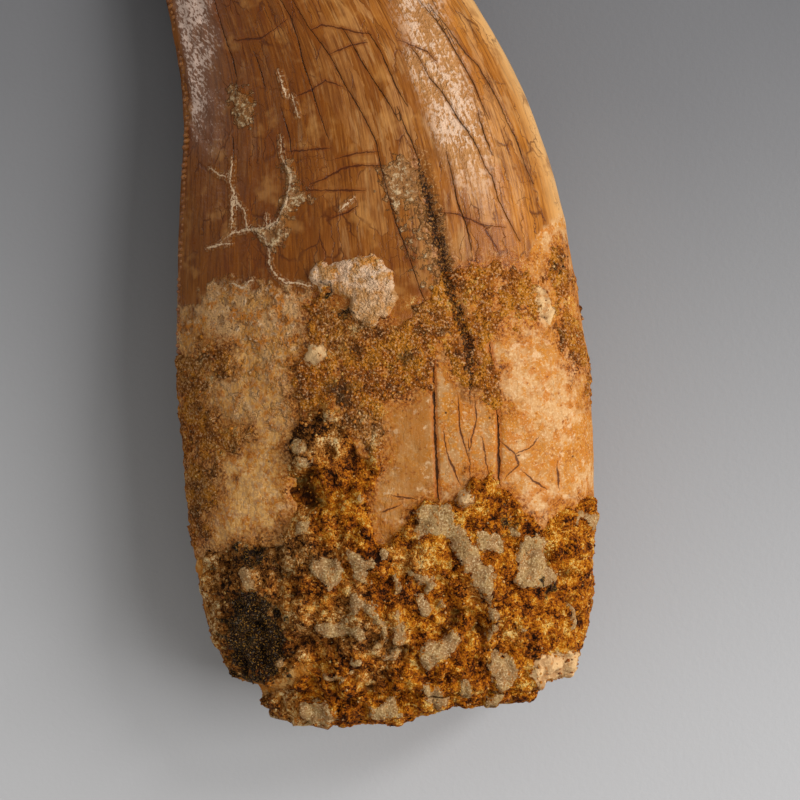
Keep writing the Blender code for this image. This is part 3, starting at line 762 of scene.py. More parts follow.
def stained_dentine(tree, look):
    """Cream to peach dentine with orange stains, rust specks and a few black dots."""
    place, peach, stain, grain = look.place, look.peach, look.stain, look.grain
    speck = pattern(tree, place, 0.35, shift=23.0)
    pores = pattern(tree, look.growth, 0.35, 2.0, (1.0, 6.0, 1.0), 4.0)
    rusty = weighted(tree, 0.4, (pattern(tree, place, 0.55, 5.0, shift=57.0), 1.0), (peach, -0.8))
    dot = add_node(tree, "ShaderNodeTexVoronoi", {"Vector": place, "Scale": 1 / DOT_SPACING}).outputs
    dot_kept = add_node(tree, "ShaderNodeSeparateXYZ", {0: dot["Color"]}).outputs[0]
    dots = product(tree, mask(tree, dot["Distance"], 0.11, 0.06), mask(tree, dot_kept, 0.62, 0.66))
    specks = product(tree, mask(tree, speck, 0.58, 0.70), mask(tree, stain, 0.42, 0.62, 0.85, 0.2))
    look.relief += [(speck, 0.03)]
    return coated(
        tree, "#b47a3b", None,
        (peach, 0.42, 0.60, 1.0, "#cb9c67"), (look.across, 0.82, 0.74, 0.40, "#8a5a26"),
        (product(tree, look.rear_half, 0.80), "#e4ac60"), (rusty, 0.48, 0.60, 0.85, "#bf7615"),
        (rusty, 0.62, 0.72, 0.75, "#8f4d12"), (stain, 0.50, 0.62, 0.90, "#b86a0e"),
        (pores, 0.50, 0.68, 0.35, "#a2672c"), (grain, 0.52, 0.66, 0.45, "#b07a42"),
        (grain, 0.46, 0.34, 0.36, "#e6c99a"),
        (product(tree, look.amber, mask(tree, stain, 0.30, 0.55, 0.8, 0.35)), "#a26727"),
        (specks, "#84430e"), (pattern(tree, place, 0.9, 5.0, shift=51.0), 0.58, 0.68, 0.55, "#e0bf94"),
        (product(tree, dots, 0.85), "#2c1a0c"))


def weathering_and_painted_light(tree, look, colour, rock):
    """Mottled stains at the root's border, pale ribs at the rear edge, worn and with a painted reflection,
    painted highlight glints on the crest, and specks and rust.
    """
    place, cloud, stain, beads, grain = look.place, look.cloud, look.stain, look.beads, look.grain
    _, rock_mid, rock_small, _, _ = rock
    ragged = product(tree, weighted(tree, -1.5, (rock_mid, 3.0)), mask(tree, look.mottle, 0.0, 0.15))
    mottle = mask(tree, weighted(tree, look.mottle, (ragged, 1.0)), 0.25, 0.75)
    colour = coated(tree, colour, mottle,
                    (0.50, "#b47a38"), (look.peach, 0.44, 0.56, 0.9, "#cc9c66"),
                    (stain, 0.48, 0.60, 0.9, "#b86c18"), (rock_mid, 0.46, 0.38, 0.8, "#643a14"),
                    (rock_small, 0.57, 0.67, 0.75, "#e2bf96"), (grain, 0.45, 0.34, 0.7, "#4a280c"))

    slanted = add_node(tree, "ShaderNodeMapping",
                       {"Vector": place, "Rotation": (0.0, 0.0, RIB_SLANT)}).outputs[0]
    ribs = pattern(tree, slanted, 0.22, 2.0, (3.2, 1.0, 1.0), 12.0)
    ribs = weighted(tree, -0.49, (ribs, 1.0), (look.strip, 0.26), (cloud, 0.5))
    # Painted highlight: pale glints on the crest's bumps, over a paler painted tint of the sparkle band
    painted_glints = weighted(tree, -0.20, (beads, 1.0), (cloud, 0.9), (look.fibres, -0.5))
    painted_glints = product(tree, look.sparkle, mask(tree, painted_glints, 0.45, 0.63))
    fringe = product(tree, mask(tree, look.root, 0.004, 0.25), mask(tree, beads, 0.50, 0.60))
    colour = coated(tree, colour, look.sparkle, (0.60, "#b9854f"))
    colour = coated(tree, colour, painted_glints, (0.62, "#e8cab0"))
    # The rear ribs are pale partly from wear and partly as a painted reflection of light from the rear side
    colour = coated(tree, colour, look.strip, (0.70, "#866654"), (ribs, 0.43, 0.60, 0.9, "#dfc3b2"))
    colour = coated(tree, colour, product(tree, fringe, look.rear_half), (0.6, "#a8825c"))

    creep = weighted(tree, -2.0, (look.crust_depth, 1.0), (stain, 4.0))
    creep = mask(tree, creep, -1.7, 0.2)
    dusty = pattern(tree, place, 0.24, 3.0, shift=37.0)
    look.relief += [
        (product(tree, mottle, rock_small), 0.35), (product(tree, mottle, grain), 0.08),
        (product(tree, look.sparkle, beads), 0.32), (product(tree, creep, dusty), 0.12)]
    colour = coated(tree, colour, creep,
                    (0.60, "#a45a0e"), (dusty, 0.46, 0.52, 0.9, rock[0]),
                    (dusty, 0.56, 0.66, 0.6, "#54290a"), (dusty, 0.44, 0.34, 0.6, "#cf9c5c"))
    return coated(tree, colour, look.smooth_spot, (0.85, "#8d5220"))


def lined(tree, look, colour, root_mask):
    """Crumbs, rusty hairlines, black cracks, the gritty groove and cream mineral veins."""
    place = look.place
    rust, rust_near = drawn_line(tree, "rust_lines", 0.075, place, 0.32, 0.45)
    crack, crack_near = drawn_line(tree, "cracks", 0.042, place, 0.28)
    slat, slat_near = drawn_line(tree, "slats", 0.085, place, 0.38, 0.4)
    groove, groove_near = drawn_line(tree, "grooves", 0.40, place, 1.5, 1.6)
    vein, vein_near = drawn_line(tree, "veins", 0.095, place, 0.45, 0.5)
    rust_halo = coated(tree, "#7a3d0e", None, (root_mask, "#b8691a"))
    grit = pattern(tree, place, 0.22, shift=31.0)
    flakes = pattern(tree, place, 0.42, 5.0, shift=81.0)
    crumb_edge = pattern(tree, place, 0.7, 5.0, shift=71.0)
    crumbly = weighted(tree, -1.6, (look.crumbly, 1.0), (crumb_edge, 3.6))
    crumbly = mask(tree, crumbly, -0.1, 0.25)
    groove_film = product(tree, groove_near, mask(tree, flakes, 0.44, 0.56, 0.8, 0.25))
    for area, coats in (
            (crumbly, ((0.60, "#a07242"), (flakes, 0.50, 0.64, 1.0, "#ccae84"),
                       (flakes, 0.44, 0.34, 0.8, "#5e3c1c"))),
            (crack_near, ((0.35, "#6c3507"),)),
            (rust_near, ((0.40, rust_halo),)),
            (rust, ((0.9, "#4a1f07"),)),
            (crack, ((0.85, "#26170d"),)),
            (slat_near, ((0.6, "#a85816"),)),
            (slat, ((0.92, "#2c1505"),)),
            (groove_film, ((1.0, "#7a481a"),)),
            (groove_near, ((grit, 0.55, 0.66, 0.6, "#c59560"),)),
            (groove, ((0.55, "#5b3210"), (grit, 0.48, 0.56, 0.9, "#1c130c"),
                      (grit, 0.42, 0.34, 0.8, "#b98444"))),
            (vein_near, ((grit, 0.50, 0.62, 0.5, "#b8936a"),)),
            (vein, ((grit, 0.36, 0.48, 1.0, "#d6b692"),))):
        colour = coated(tree, colour, area, *coats)
    look.relief += [
        (rust, -0.04), (crack, -0.12), (slat, -0.25), (product(tree, groove, grit), 0.25),
        (product(tree, vein_near, grit), 0.12), (product(tree, crumbly, flakes), 0.45)]
    return colour, combined(tree, "MAXIMUM", root_mask, groove, vein)


def enamel_and_dentine():
    """Amber enamel of the crown, polished by wear, over satin cream dentine of the root, with painted
    highlights on the crest, the front edge and the rear ribs.
    """
    material, tree, shader, place = start_material("worn_enamel_and_dentine", 0.35, 0.18)
    look = tooth_look(tree, place)
    enamel = amber_enamel(tree, look)
    dentine = stained_dentine(tree, look)
    ragged = weighted(tree, -0.75, (pattern(tree, place, 2.2, 5.0, shift=2.0), 1.5))
    ragged = product(tree, ragged, mask(tree, look.root, 0.0, 0.12))
    root_mask = mask(tree, weighted(tree, look.root, (ragged, 1.0)), 0.28, 0.72)
    colour = coated(tree, enamel, None, (root_mask, dentine))
    colour = weathering_and_painted_light(tree, look, colour, rock_colours(tree, place, 0.8))
    colour, matt = lined(tree, look, colour, root_mask)
    tree.links.new(colour, shader.inputs["Base Color"])

    # The enamel still has a soft polish, and dentine, grit and veins are matt
    polish = mask(tree, pattern(tree, place, 0.8, 3.0, shift=8.0), 0.3, 0.7, 0.46, 0.24)
    tree.links.new(weighted(tree, polish, (matt, 0.30)), shader.inputs["Roughness"])
    bumped(tree, shader, look.relief + [(product(tree, root_mask, look.stain), 0.12)])
    return material


def rock_colours(tree, place, contrast):
    """Ground colours of the rusty sandstone: grains of a quarter millimetre with a tone each.

    Broad clouds make the grains darker or paler together, and browner towards the rear. The
    contrast is a number or a socket: 1 for the thick crust, less for a thin film.
    """
    broad = pattern(tree, place, 2.6, 4.0, shift=3.0)
    wide = pattern(tree, place, 6.0, 3.0, shift=13.0)
    mid = pattern(tree, place, 1.1, 4.0, shift=7.0)
    small = pattern(tree, place, 0.5, 4.0, shift=27.0)
    bent = bent_place(tree, place, place, 1.6, 2.0, (0.8, 0.8, 0.8))
    cells = add_node(tree, "ShaderNodeTexVoronoi", {"Vector": bent, "Scale": 1 / ROCK_GRAIN}).outputs
    tone, other, _ = add_node(tree, "ShaderNodeSeparateXYZ", {0: cells["Color"]}).outputs
    level = weighted(tree, -2.82, (tone, 0.50), (mid, 1.3), (pattern(tree, place, 0.15), 1.1),
                     (small, 1.1), (broad, 1.6))
    level = weighted(tree, 0.50, (level, contrast))
    rearward = add_node(tree, "ShaderNodeSeparateXYZ", {0: place}).outputs[0]
    rearward = weighted(tree, -1.28, (rearward, -0.030), (wide, 3.0))
    orange, brown = (
        add_node(tree, "ShaderNodeValToRGB", {0: level}, stops=tuple(zip(ROCK_LEVELS, tones))).outputs[0]
        for tones in (ORANGE_ROCK, BROWN_ROCK))
    ground = coated(tree, orange, None, (rearward, -0.1, 0.8, 1.0, brown))
    return ground, mid, small, cells["Distance"], other


def sandstone():
    """Rusty sandstone cemented by iron: orange and brown, gritty, with plates of beige clay and painted
    shade in its hollows.
    """
    material, tree, shader, place = start_material("iron_cemented_sandstone", 0.8, 0.07)
    clay_depth, black_depth, cream_depth = kept_fields(tree, "zones")
    rim_depth, cloud, _ = kept_fields(tree, "marks")
    painted_hollow_shade, thin, pale_depth = kept_fields(tree, "shape")

    contrast = weighted(tree, 1.0, (thin, -0.35))
    ground, mid, small, round_grain, other = rock_colours(tree, place, contrast)
    grain = pattern(tree, place, 0.17, shift=45.0)
    film = pattern(tree, place, 0.22, 3.0, shift=91.0)
    patches = pattern(tree, place, 1.9, 5.0, shift=29.0)
    edge = weighted(tree, -0.95, (pattern(tree, place, 0.6, 5.0, shift=19.0), 1.8))
    groove = drawn_line(tree, "grooves", 0.45, place, 1.5, 1.6)[0]
    clay, cream, pale, rim = (
        mask(tree, weighted(tree, depth, (edge, 1.0)), start, full)
        for depth, start, full in ((clay_depth, -0.02, 0.08), (cream_depth, -0.1, 0.2),
                                   (pale_depth, -0.1, 0.15), (rim_depth, -0.15, 0.25)))
    black = mask(tree, weighted(tree, -3.7, (black_depth, 1.0), (mid, 7.0)), -0.4, 0.5)

    clay_tone = coated(
        tree, "#96724a", None,
        (mid, 0.42, 0.60, 1.0, "#a98859"), (small, 0.46, 0.36, 0.7, "#7c5224"),
        (small, 0.56, 0.64, 0.8, "#9c5e1c"), (grain, 0.46, 0.34, 0.6, "#765430"),
        (grain, 0.55, 0.66, 0.65, "#dabf92"))
    up_the_crown = add_node(tree, "ShaderNodeSeparateXYZ", {0: place}).outputs[1]
    up_the_crown = weighted(tree, -float(FORM_TO_FRAME[1]), (up_the_crown, 1.0))
    whiter = mask(tree, up_the_crown, 38.0, 42.0)
    cream_tone = coated(
        tree, "#b48350", None, (mid, 0.47, 0.58, 0.8, "#cfa67c"),
        (pattern(tree, place, 2.0, 3.0, shift=14.0), 0.52, 0.62, 0.8, "#bf7a2c"))
    cream_tone = coated(tree, cream_tone, whiter, (mid, 0.42, 0.54, 0.7, "#dfc0a4"))
    cream_tone = coated(tree, cream_tone, None,
                        (grain, 0.54, 0.66, 0.5, "#dbb88c"), (grain, 0.46, 0.34, 0.60, "#95612c"))
    pale_tone = coated(tree, "#ab8358", None,
                       (mid, 0.42, 0.56, 1.0, "#d4ad7b"), (small, 0.56, 0.66, 0.7, "#b06c28"))
    rim_tone = coated(tree, "#b9762c", None,
                      (mid, 0.44, 0.58, 1.0, "#cd9a58"), (small, 0.52, 0.64, 0.8, "#9c560e"),
                      (grain, 0.44, 0.34, 0.5, "#70400f"))

    colour = coated(tree, ground, thin,
                    (0.30, "#7d4d22"), (patches, 0.50, 0.62, 0.65, "#bb7820"),
                    (patches, 0.43, 0.33, 0.70, "#4c3216"), (film, 0.54, 0.64, 0.65, "#d3a779"),
                    (film, 0.46, 0.36, 0.75, "#422008"))
    dusk = product(tree, cloud, mask(tree, other, 0.85, 0.60, 0.7, 0.2))
    # Painted shade darkens the hollows of the thick crust
    colour = coated(tree, colour, None,
                    (painted_hollow_shade, 0.35, 0.85, 0.8, "#241003"), (dusk, "#2c1f12"), (cream, cream_tone),
                    (clay, clay_tone), (pale, pale_tone), (rim, rim_tone))
    colour = coated(tree, colour, black,
                    (0.96, "#120d0a"), (grain, 0.56, 0.63, 0.85, "#9a6c28"),
                    (film, 0.60, 0.66, 0.75, "#77695a"))
    colour = coated(tree, colour, groove,
                    (0.55, "#4a270b"), (grain, 0.46, 0.56, 0.85, "#140d08"))
    tree.links.new(colour, shader.inputs["Base Color"])
    grainy = weighted(tree, 1.0, (combined(tree, "MAXIMUM", clay, pale, rim), -0.7))
    bumped(tree, shader, (
        (product(tree, round_grain, grainy), -0.16), (product(tree, small, grainy), 0.40),
        (grain, 0.06), (mid, 0.12), (clay, 0.06)))
    return material


def sand(name, tones, roughness):
    """Loose quartz grains stained by iron: each grain one tone over the colour of its ground."""
    material, tree, shader, place = start_material(name, roughness, 0.2)
    tone = add_node(tree, "ShaderNodeAttribute", attribute_name="tone").outputs["Fac"]
    clay_depth, black_depth, cream_depth = kept_fields(tree, "zones")
    steps = [(k / len(tones), colour) for k, colour in enumerate(tones)]
    ramp = add_node(tree, "ShaderNodeValToRGB", {0: tone}, stops=steps)
    ramp.color_ramp.interpolation = "CONSTANT"
    colour = coated(tree, ramp.outputs[0], None,
                    (0.45, rock_colours(tree, place, 0.8)[0]),
                    (cream_depth, -0.2, 0.3, 0.55, "#cda672"), (clay_depth, -0.1, 0.3, 0.7, "#b08c58"),
                    (black_depth, -0.2, 0.4, 0.85, "#181008"))
    tree.links.new(colour, shader.inputs["Base Color"])
    bumped(tree, shader, ((pattern(tree, place, 0.15), 0.04),))
    return material


def serrated_enamel():
    """Enamel of the serrations: orange-brown beads with rust between them."""
    material, tree, shader, place = start_material("serrated_enamel", 0.38)
    fine = pattern(tree, place, 0.2)
    colour = coated(tree, "#83490f", None,
                    (pattern(tree, place, 1.6, 3.0), 0.42, 0.66, 1.0, "#a4682a"),
                    (fine, 0.50, 0.68, 0.8, "#4d2508"))
    tree.links.new(colour, shader.inputs["Base Color"])
    bumped(tree, shader, ((fine, 0.05),))
    return material


def tabletop():
    """Matt tabletop of sprayed board: grey with a faint grain, and painted shade that makes it darker
    towards the tip.
    """
    material, tree, shader, place = start_material("pale_matt_tabletop", 0.7, 0.3)
    # Painted shade: darker towards the tip and paler towards the base, as light falling off would make it
    toward_base = add_node(tree, "ShaderNodeSeparateXYZ", {0: place}).outputs[1]
    colour = coated(tree, "#67686c", None,
                    (toward_base, 30.0, -75.0, 1.0, "#bcbdc0"),
                    (pattern(tree, place, 30.0), 0.3, 0.7, 0.05, "#a4a4a4"))
    tree.links.new(colour, shader.inputs["Base Color"])
    bumped(tree, shader, ((pattern(tree, place, 0.6), 0.02),))
    return material


def crust_depths(points, normal):
    """Depths inside the thick crust, the thin crust and the sediment patches, in millimetres."""
    y = points[..., 1]
    seen = seen_place(points)
    outer = smooth_step(-0.35, 0.15, normal[..., 2])
    inner = 1.0 - outer
    wander = 1.4 * soft_noise(points, 6.0, 11)
    ragged = 0.5 * soft_noise(points, 1.2, 12) + 0.3 * soft_noise(points, 0.5, 13)
    flecks = 0.5 * soft_noise(points, 0.7, 17)
    thick_inner = INNER_CRUST_TOP - y + wander
    film_inner = np.minimum(0.0, INNER_FILM_TOP - y + wander)
    thin_inner = 3.0 * soft_noise(points, 7.0, 14) + film_inner - 0.4
    thick = outer * depth_inside(CRUST_EDGE, *seen) + inner * thick_inner + ragged
    thin = outer * deepest((BAND, REAR_GRIT, FRONT_BAND), *seen) + inner * thin_inner
    away = -6.0 * inner
    small_clay = 3.2 * soft_noise(points, 2.4, 15) + 1.2 * soft_noise(points, 1.0, 18) - 2.15
    clay = outer * deepest(CLAY, *seen) + away + 0.35 * ragged + 0.4 * flecks
    black_inner = 4.0 * soft_noise(points, 6.0, 16) - 2.2
    return {
        "outer": outer, "thick": thick, "thin": thin + 1.5 * ragged + flecks,
        "clay": np.maximum(clay, np.minimum(small_clay, thick - 0.4)),
        "cream": outer * depth_inside(CREAM_PATCH, *seen) + away + ragged + 0.6 * flecks,
        "pale": outer * deepest(PALE_SPOTS, *seen) + away + 0.35 * ragged + 0.1,
        "rim": outer * depth_inside(ROOT_RIM, *seen) + away + 0.4 * ragged,
        "black": outer * deepest(BLACK, *seen) + inner * black_inner,
    }


def tooth_lines():
    """The line families: name, lines, share left at their ends, relief and half its width."""
    return (
        ("cracks", DARK_CRACKS + cracks_to_tip(), 0.35, -0.06, 0.22),
        ("slats", SLAT_CRACKS, 0.4, -0.4, 0.22), ("rust_lines", RUST_LINES, 0.3, 0.0, 0.1),
        ("veins", VEINS, 0.45, 0.07, 0.3), ("grooves", GROOVES, 0.25, -0.45, 0.8),
    )


def tooth_zones(grid, seen, places, turns, outer):
    """Where the tooth's root is, how it grew, where it is ribbed or gritty, and the crest band that has
    bumps and painted highlight glints.
    """
    seen_x, seen_y = seen
    border = outer * np.interp(seen_x, *zip(*CROWN_EDGE)) + (1.0 - outer) * INNER_ROOT_TOP
    border = seen_y - border + 1.2 * soft_noise(grid, 6.0, 11) + 1.1 * soft_noise(grid, 2.0, 69)
    root = 1.0 - smooth_step(-1.6, 1.6, border)

    # Growth is measured across the crown and up it, with the two faces far apart
    across = np.broadcast_to(share_across(turns), root.shape)
    up = np.concatenate([np.zeros(TOOTH_END_RINGS), places])
    up = np.interp(up, np.arange(len(ROWS)), ROWS[:, 1])[:, None] + np.zeros_like(root)
    side = np.where(np.sin(turns * 2 * pi) > 0, 0.0, FACE_SHIFT) + np.zeros_like(root)

    # The rear strip of ribs, pale partly by wear and partly by a painted reflection
    strip = smooth_step(2.2, -1.6, seen_x - STRIP_EDGE + 0.9 * soft_noise(grid, 1.5, 52))
    strip = outer * strip * smooth_step(51.0, 56.5, seen_y + 1.5 * soft_noise(grid, 1.2, 66))
    # The sparkle band along the crest has real bumps and painted highlight glints
    crest = seen_x - 3.0 - (PHOTO_TOP - seen_y) * 0.30 + 0.7 * soft_noise(grid, 2.5, 67)
    sparkle = smooth_step(3.2, 1.2, np.abs(crest)) * smooth_step(46.0, 54.0, seen_y)
    fan = np.minimum(depth_inside(GRITTY_FAN, *seen) - 0.5, -0.25)
    crumbly = np.maximum(np.maximum(deepest(CRUMBS, *seen), -2.0), fan)
    return SimpleNamespace(
        root=root, across=across, growth=np.stack([across * CROWN_WIDTH, up, side], axis=-1),
        strip=strip, sparkle=sparkle * outer, crumbly=outer * crumbly - 2.0 * (1.0 - outer))


def tooth_stains(moved, seen, outer, root):
    """How amber the root is, where it is smooth, and where its border is mottled."""
    amber = smooth_step(-0.8, 0.6, depth_inside(AMBER_WINDOW, *seen) + soft_noise(moved, 1.5, 60))
    stained = depth_inside(STAINED, *seen) + 1.6 * soft_noise(moved, 1.8, 74)
    amber = outer * np.maximum(amber, 0.40 * smooth_step(-0.8, 0.8, stained))
    spot = outer * smooth_step(-0.3, 0.3, depth_inside(SMOOTH_SPOT, *seen))
    mottle = np.maximum(smooth_step(-1.8, 1.8, depth_inside(MOTTLED, *seen)),
                        0.35 * smooth_step(-1.0, 1.0, stained))
    mottle_inner = smooth_step(0.1, 0.6, soft_noise(moved, 7.0, 62)) * root
    return amber, spot, outer * mottle + (1.0 - outer) * mottle_inner


def tooth_relief(grid, zones, families, fields, depth):
    """How far each point of the tooth stands out, in millimetres."""
    outer, growth, root = depth["outer"], zones.growth, zones.root
    x, y = grid[..., 0], grid[..., 1]
    diagonal = np.stack([x * 0.75 + y * 0.55, x * 0.15 - y * 0.12, grid[..., 2] * 0.2], axis=-1)
    ribs = smooth_step(-0.45, 0.25, soft_noise(diagonal, 0.5, 54) + 0.5 * soft_noise(grid, 0.5, 55))
    rise = 0.16 * soft_noise(grid, 9.0, 43)
    rise += (1 - root) * 0.05 * soft_noise(growth / np.array([1.0, 12.0, 1.0]), 0.9, 51)
    rise += (1 - root) * 0.05 * soft_noise(growth / np.array([9.0, 1.0, 1.0]), 1.7, 53)
    rise += zones.strip * (0.16 * ribs - 0.08)
    rise += zones.sparkle * 0.06 * soft_noise(grid, 0.55, 56)
    rise += smooth_step(-0.2, 0.2, zones.crumbly) * (0.10 + 0.14 * soft_noise(grid, 0.45, 68))
    rise += root * (0.10 * soft_noise(grid, 2.0, 57) + 0.04 * soft_noise(grid, 0.6, 58))
    for title, _, _, relief, half_width in families:
        _, gap, strength = np.moveaxis(fields[title], -1, 0)
        face = 1.0 if title == "cracks" else outer
        rise += relief * strength * (1.0 - smooth_step(0.0, half_width, gap)) * face
    gritty = 1.0 - smooth_step(0.2, 1.0, fields["grooves"][..., 1])
    rise += outer * gritty * 0.16 * soft_noise(grid, 0.45, 59)
    notch = np.hypot(x - EDGE_NOTCH[0], y - EDGE_NOTCH[1])
    rise -= 0.5 * (1.0 - smooth_step(0.2, 1.3, notch))
    return rise - 1.6 * smooth_step(0.2, 1.4, depth["thick"])


def tooth_piece():
    """The crown and root, drawn in where the crust covers them."""
    turns = even_turns(*TOOTH_AROUND)
    places = row_places(TOOTH_ROWS)
    grid = base_grid(turns, places, TOOTH_END_RINGS)
    normal = surface_normals(grid)
    depth = crust_depths(grid, normal)
    outer = depth["outer"]
    seen = seen_place(grid)
    zones = tooth_zones(grid, seen, places, turns, outer)
    families = tooth_lines()
    fields = {title: line_field(lines, *seen, taper) for title, lines, taper, _, _ in families}
    rise = tooth_relief(grid, zones, families, fields, depth)
    moved = grid + normal * rise[..., None]
    moved[..., 2] = np.maximum(moved[..., 2], 0.0)

    # Only the cracks go round to the inner face
    for title in fields:
        if title != "cracks":
            fields[title][..., 1] += OUT_OF_SIGHT * (1.0 - outer)
    amber, spot, mottle = tooth_stains(moved, seen, outer, zones.root)
    crust_depth = np.maximum(depth["thick"], depth["thin"])
    strip = zones.strip * smooth_step(0.015, 0.04, zones.across)
    attributes = {
        "growth": zones.growth, "zones": np.stack([zones.across, zones.root, strip], axis=-1),
        "marks": np.stack([mottle, zones.sparkle, zones.crumbly], axis=-1),
        "covers": np.stack([crust_depth, amber, spot], axis=-1), **fields}
    tip = moved[-1].mean(axis=0)
    heading = tip - moved[-TIP_RINGS].mean(axis=0)
    tip = tip + TIP_CAP * heading / np.linalg.norm(heading)
    return closed_mesh("tooth_body", moved, moved[0].mean(axis=0), tip, attributes)


def cracks_to_tip():
    """Carries the crown's long cracks on up to the point, beyond the picture's edge."""
    lines = []
    for number, (across, first, last) in enumerate(TIP_CRACKS):
        line = []
        for step in np.linspace(first, last, 12):
            drift = across + 0.05 * sin(step * 2.3 + number * 1.7) * min(1.0, step - first)
            swing = (CREST - drift) / (CREST if drift < CREST else 1 - CREST)
            px, py = seen_place(section(step, np.array([np.arccos(swing) / (2 * pi)])))
            line.append((float(px[0]), float(py[0])))
        lines.append(tuple(line))
    return tuple(lines)


def crust_piece():
    """The sandstone sleeve round the root, the plug in its end, and the thin crust above."""
    turns = even_turns(*CRUST_AROUND)
    places = row_places(CRUST_ROWS)
    grid = base_grid(turns, places, PLUG_RINGS)
    normal = surface_normals(grid)
    depth = crust_depths(grid, normal)
    x, y = grid[..., 0], grid[..., 1]
    seen_x, seen_y = seen_place(grid)
    outer = depth["outer"]

    thick = smooth_step(-0.25, 0.2, depth["thick"])
    thin = smooth_step(-0.25, 0.25, depth["thin"]) * (1.0 - thick)
    clay = smooth_step(-0.1, 0.16, depth["clay"]) * (1.0 - smooth_step(44.0, 46.0, y))
    cream = smooth_step(-0.4, 0.7, depth["cream"])
    pale = smooth_step(-0.2, 0.3, depth["pale"])
    calm = np.clip(np.arange(grid.shape[0]) / 30.0, 0.3, 1.0)[:, None]

    big, middle, small = lumps(grid, 5.2, 21), lumps(grid, 2.9, 31), lumps(grid, 1.4, 61)
    crumbs, grit = lumps(grid, 0.75, 71), soft_noise(grid, 0.45, 72)
    pits = smooth_step(0.25, 0.75, soft_noise(grid, 1.6, 73))
    rough = 1.3 * (big - 0.6) + 0.8 * (middle - 0.6) + 0.75 * (small - 0.55) - 0.5 * pits
    fine = 0.32 * (crumbs - 0.5) + 0.16 * grit
    # Along the edges that make the outline the rock is rubbed smoother
    rim = 1.0 - smooth_step(0.15, 0.65, np.abs(normal[..., 2]))
    rough *= 1.0 - 0.65 * rim
    fine *= 1.0 - 0.45 * rim
    root_rim = smooth_step(-0.2, 0.3, depth["rim"])
    rough *= 1.0 - 0.8 * root_rim
    fine *= 1.0 - 0.7 * root_rim
    rise = thick * (0.3 - 0.2 * rim + calm * rough * (1.0 - 0.35 * clay) + fine * (1.0 - 0.8 * clay))
    rise += thin * (0.06 + 0.22 * (small - 0.5) + 0.24 * (crumbs - 0.45) + 0.08 * grit)
    rise += cream * (0.45 + 0.30 * (small - 0.5) + 0.20 * (crumbs - 0.5) + 0.08 * grit)
    rise += clay * thick * (0.5 + 0.07 * soft_noise(grid, 0.7, 63))
    rise += pale * (0.2 + 0.2 * (small - 0.5) + 0.15 * (crumbs - 0.5))
    grooves = line_field(GROOVES, seen_x, seen_y, 0.25)
    grooves[..., 1] += OUT_OF_SIGHT * (1.0 - outer)
    worn = (1.0 - smooth_step(0.1, 0.9, grooves[..., 1])) * grooves[..., 2]
    rise -= 0.25 * worn
    cloud = np.zeros_like(x)
    for cloud_x, cloud_y, radius in DARK_CLOUDS:
        gap = np.hypot(seen_x - cloud_x, seen_y - cloud_y) / radius + 0.3 * soft_noise(grid, 0.9, 64)
        cloud = np.maximum(cloud, outer * (1.0 - smooth_step(0.3, 1.3, gap)))
    covered = np.maximum(np.maximum(thick, thin), np.maximum(cream, pale * (1 - thin)))
    rise -= 0.42 * (1.0 - covered)
    rise += 0.16 * soft_noise(grid, 9.0, 43)
    for knob_x, knob_y, radius, height in KNOBS:
        dome = np.clip(1.0 - ((x - knob_x) ** 2 + (y - knob_y) ** 2) / radius**2, 0.0, 1.0)
        rise += (1.0 - outer) * height * dome
    # Painted shade: how dark the creases and pits between the lumps are painted
    painted_hollow_shade = 1.05 - 0.45 * big - 0.35 * middle - 0.4 * small - 0.15 * crumbs + 0.4 * pits
    painted_hollow_shade = np.clip(painted_hollow_shade, 0.0, 1.0) * thick * calm

    rise -= root_rim * thick * np.maximum(rise - 0.25, 0.0)
    moved = grid + normal * rise[..., None]
    moved[..., 2] = np.maximum(moved[..., 2], 0.0)
    # The upper end closes inside the tooth
    top = moved[-1]
    closing = []
    for share, back in CRUST_CLOSING:
        ring = top.mean(axis=0) + (grid[-1] - grid[-1].mean(axis=0)) * share
        ring[:, 1] -= back
        closing.append(ring)
    extra = len(closing)
    moved = np.concatenate([moved, np.array(closing)])
    sand_share = covered * (1.0 - 0.7 * cream) * (1.0 - 0.85 * clay) * (1.0 - 0.4 * pale)
    sand_share = sand_share * (1.0 - 0.35 * thin) * (0.35 + 0.65 * outer) * (1.0 - 0.8 * root_rim)

    def with_ends(values):
        """Gives the closing rings the values of the last ring."""
        return np.concatenate([values, np.repeat(values[-1:], extra, axis=0)])

    attributes = {
        "zones": with_ends(np.stack([depth["clay"], depth["black"], depth["cream"]], axis=-1)),
        "shape": with_ends(np.stack([painted_hollow_shade, thin, depth["pale"]], axis=-1)),
        "sand": with_ends(sand_share),
        "marks": with_ends(np.stack([depth["rim"], cloud, 0.0 * x], axis=-1)),
        "grooves": with_ends(grooves),
    }
    attributes["sand"][-extra - 3:] = 0.0
    ends = moved[0].mean(axis=0), moved[-1].mean(axis=0)
    return closed_mesh("sandstone_crust", moved, *ends, attributes)


def node_tree(name, sockets):
    """An empty Geometry Nodes tree with its inputs, and the node that gives them."""
    tree = bpy.data.node_groups.new(name, "GeometryNodeTree")
    tree.interface.new_socket("Geometry", in_out="INPUT", socket_type="NodeSocketGeometry")
    for title, kind in sockets:
        tree.interface.new_socket(title, in_out="INPUT", socket_type=kind)
    tree.interface.new_socket("Geometry", in_out="OUTPUT", socket_type="NodeSocketGeometry")
    return tree, add_node(tree, "NodeGroupInput").outputs


def plain_result(name, mesh, tree, values):
    """The tree's result on a mesh, as a plain mesh with no modifier."""
    host = bpy.data.objects.new(name + "_host", mesh)
    bpy.context.scene.collection.objects.link(host)
    modifier = host.modifiers.new(name, "NODES")
    modifier.node_group = tree
    for item in tree.interface.items_tree:
        if item.in_out == "INPUT" and item.name in values:
            modifier[item.identifier] = values[item.name]
    result = bpy.data.meshes.new_from_object(host.evaluated_get(bpy.context.evaluated_depsgraph_get()))
    host.modifiers.remove(modifier)
    bpy.data.objects.remove(host)
    result.name = name
    return result


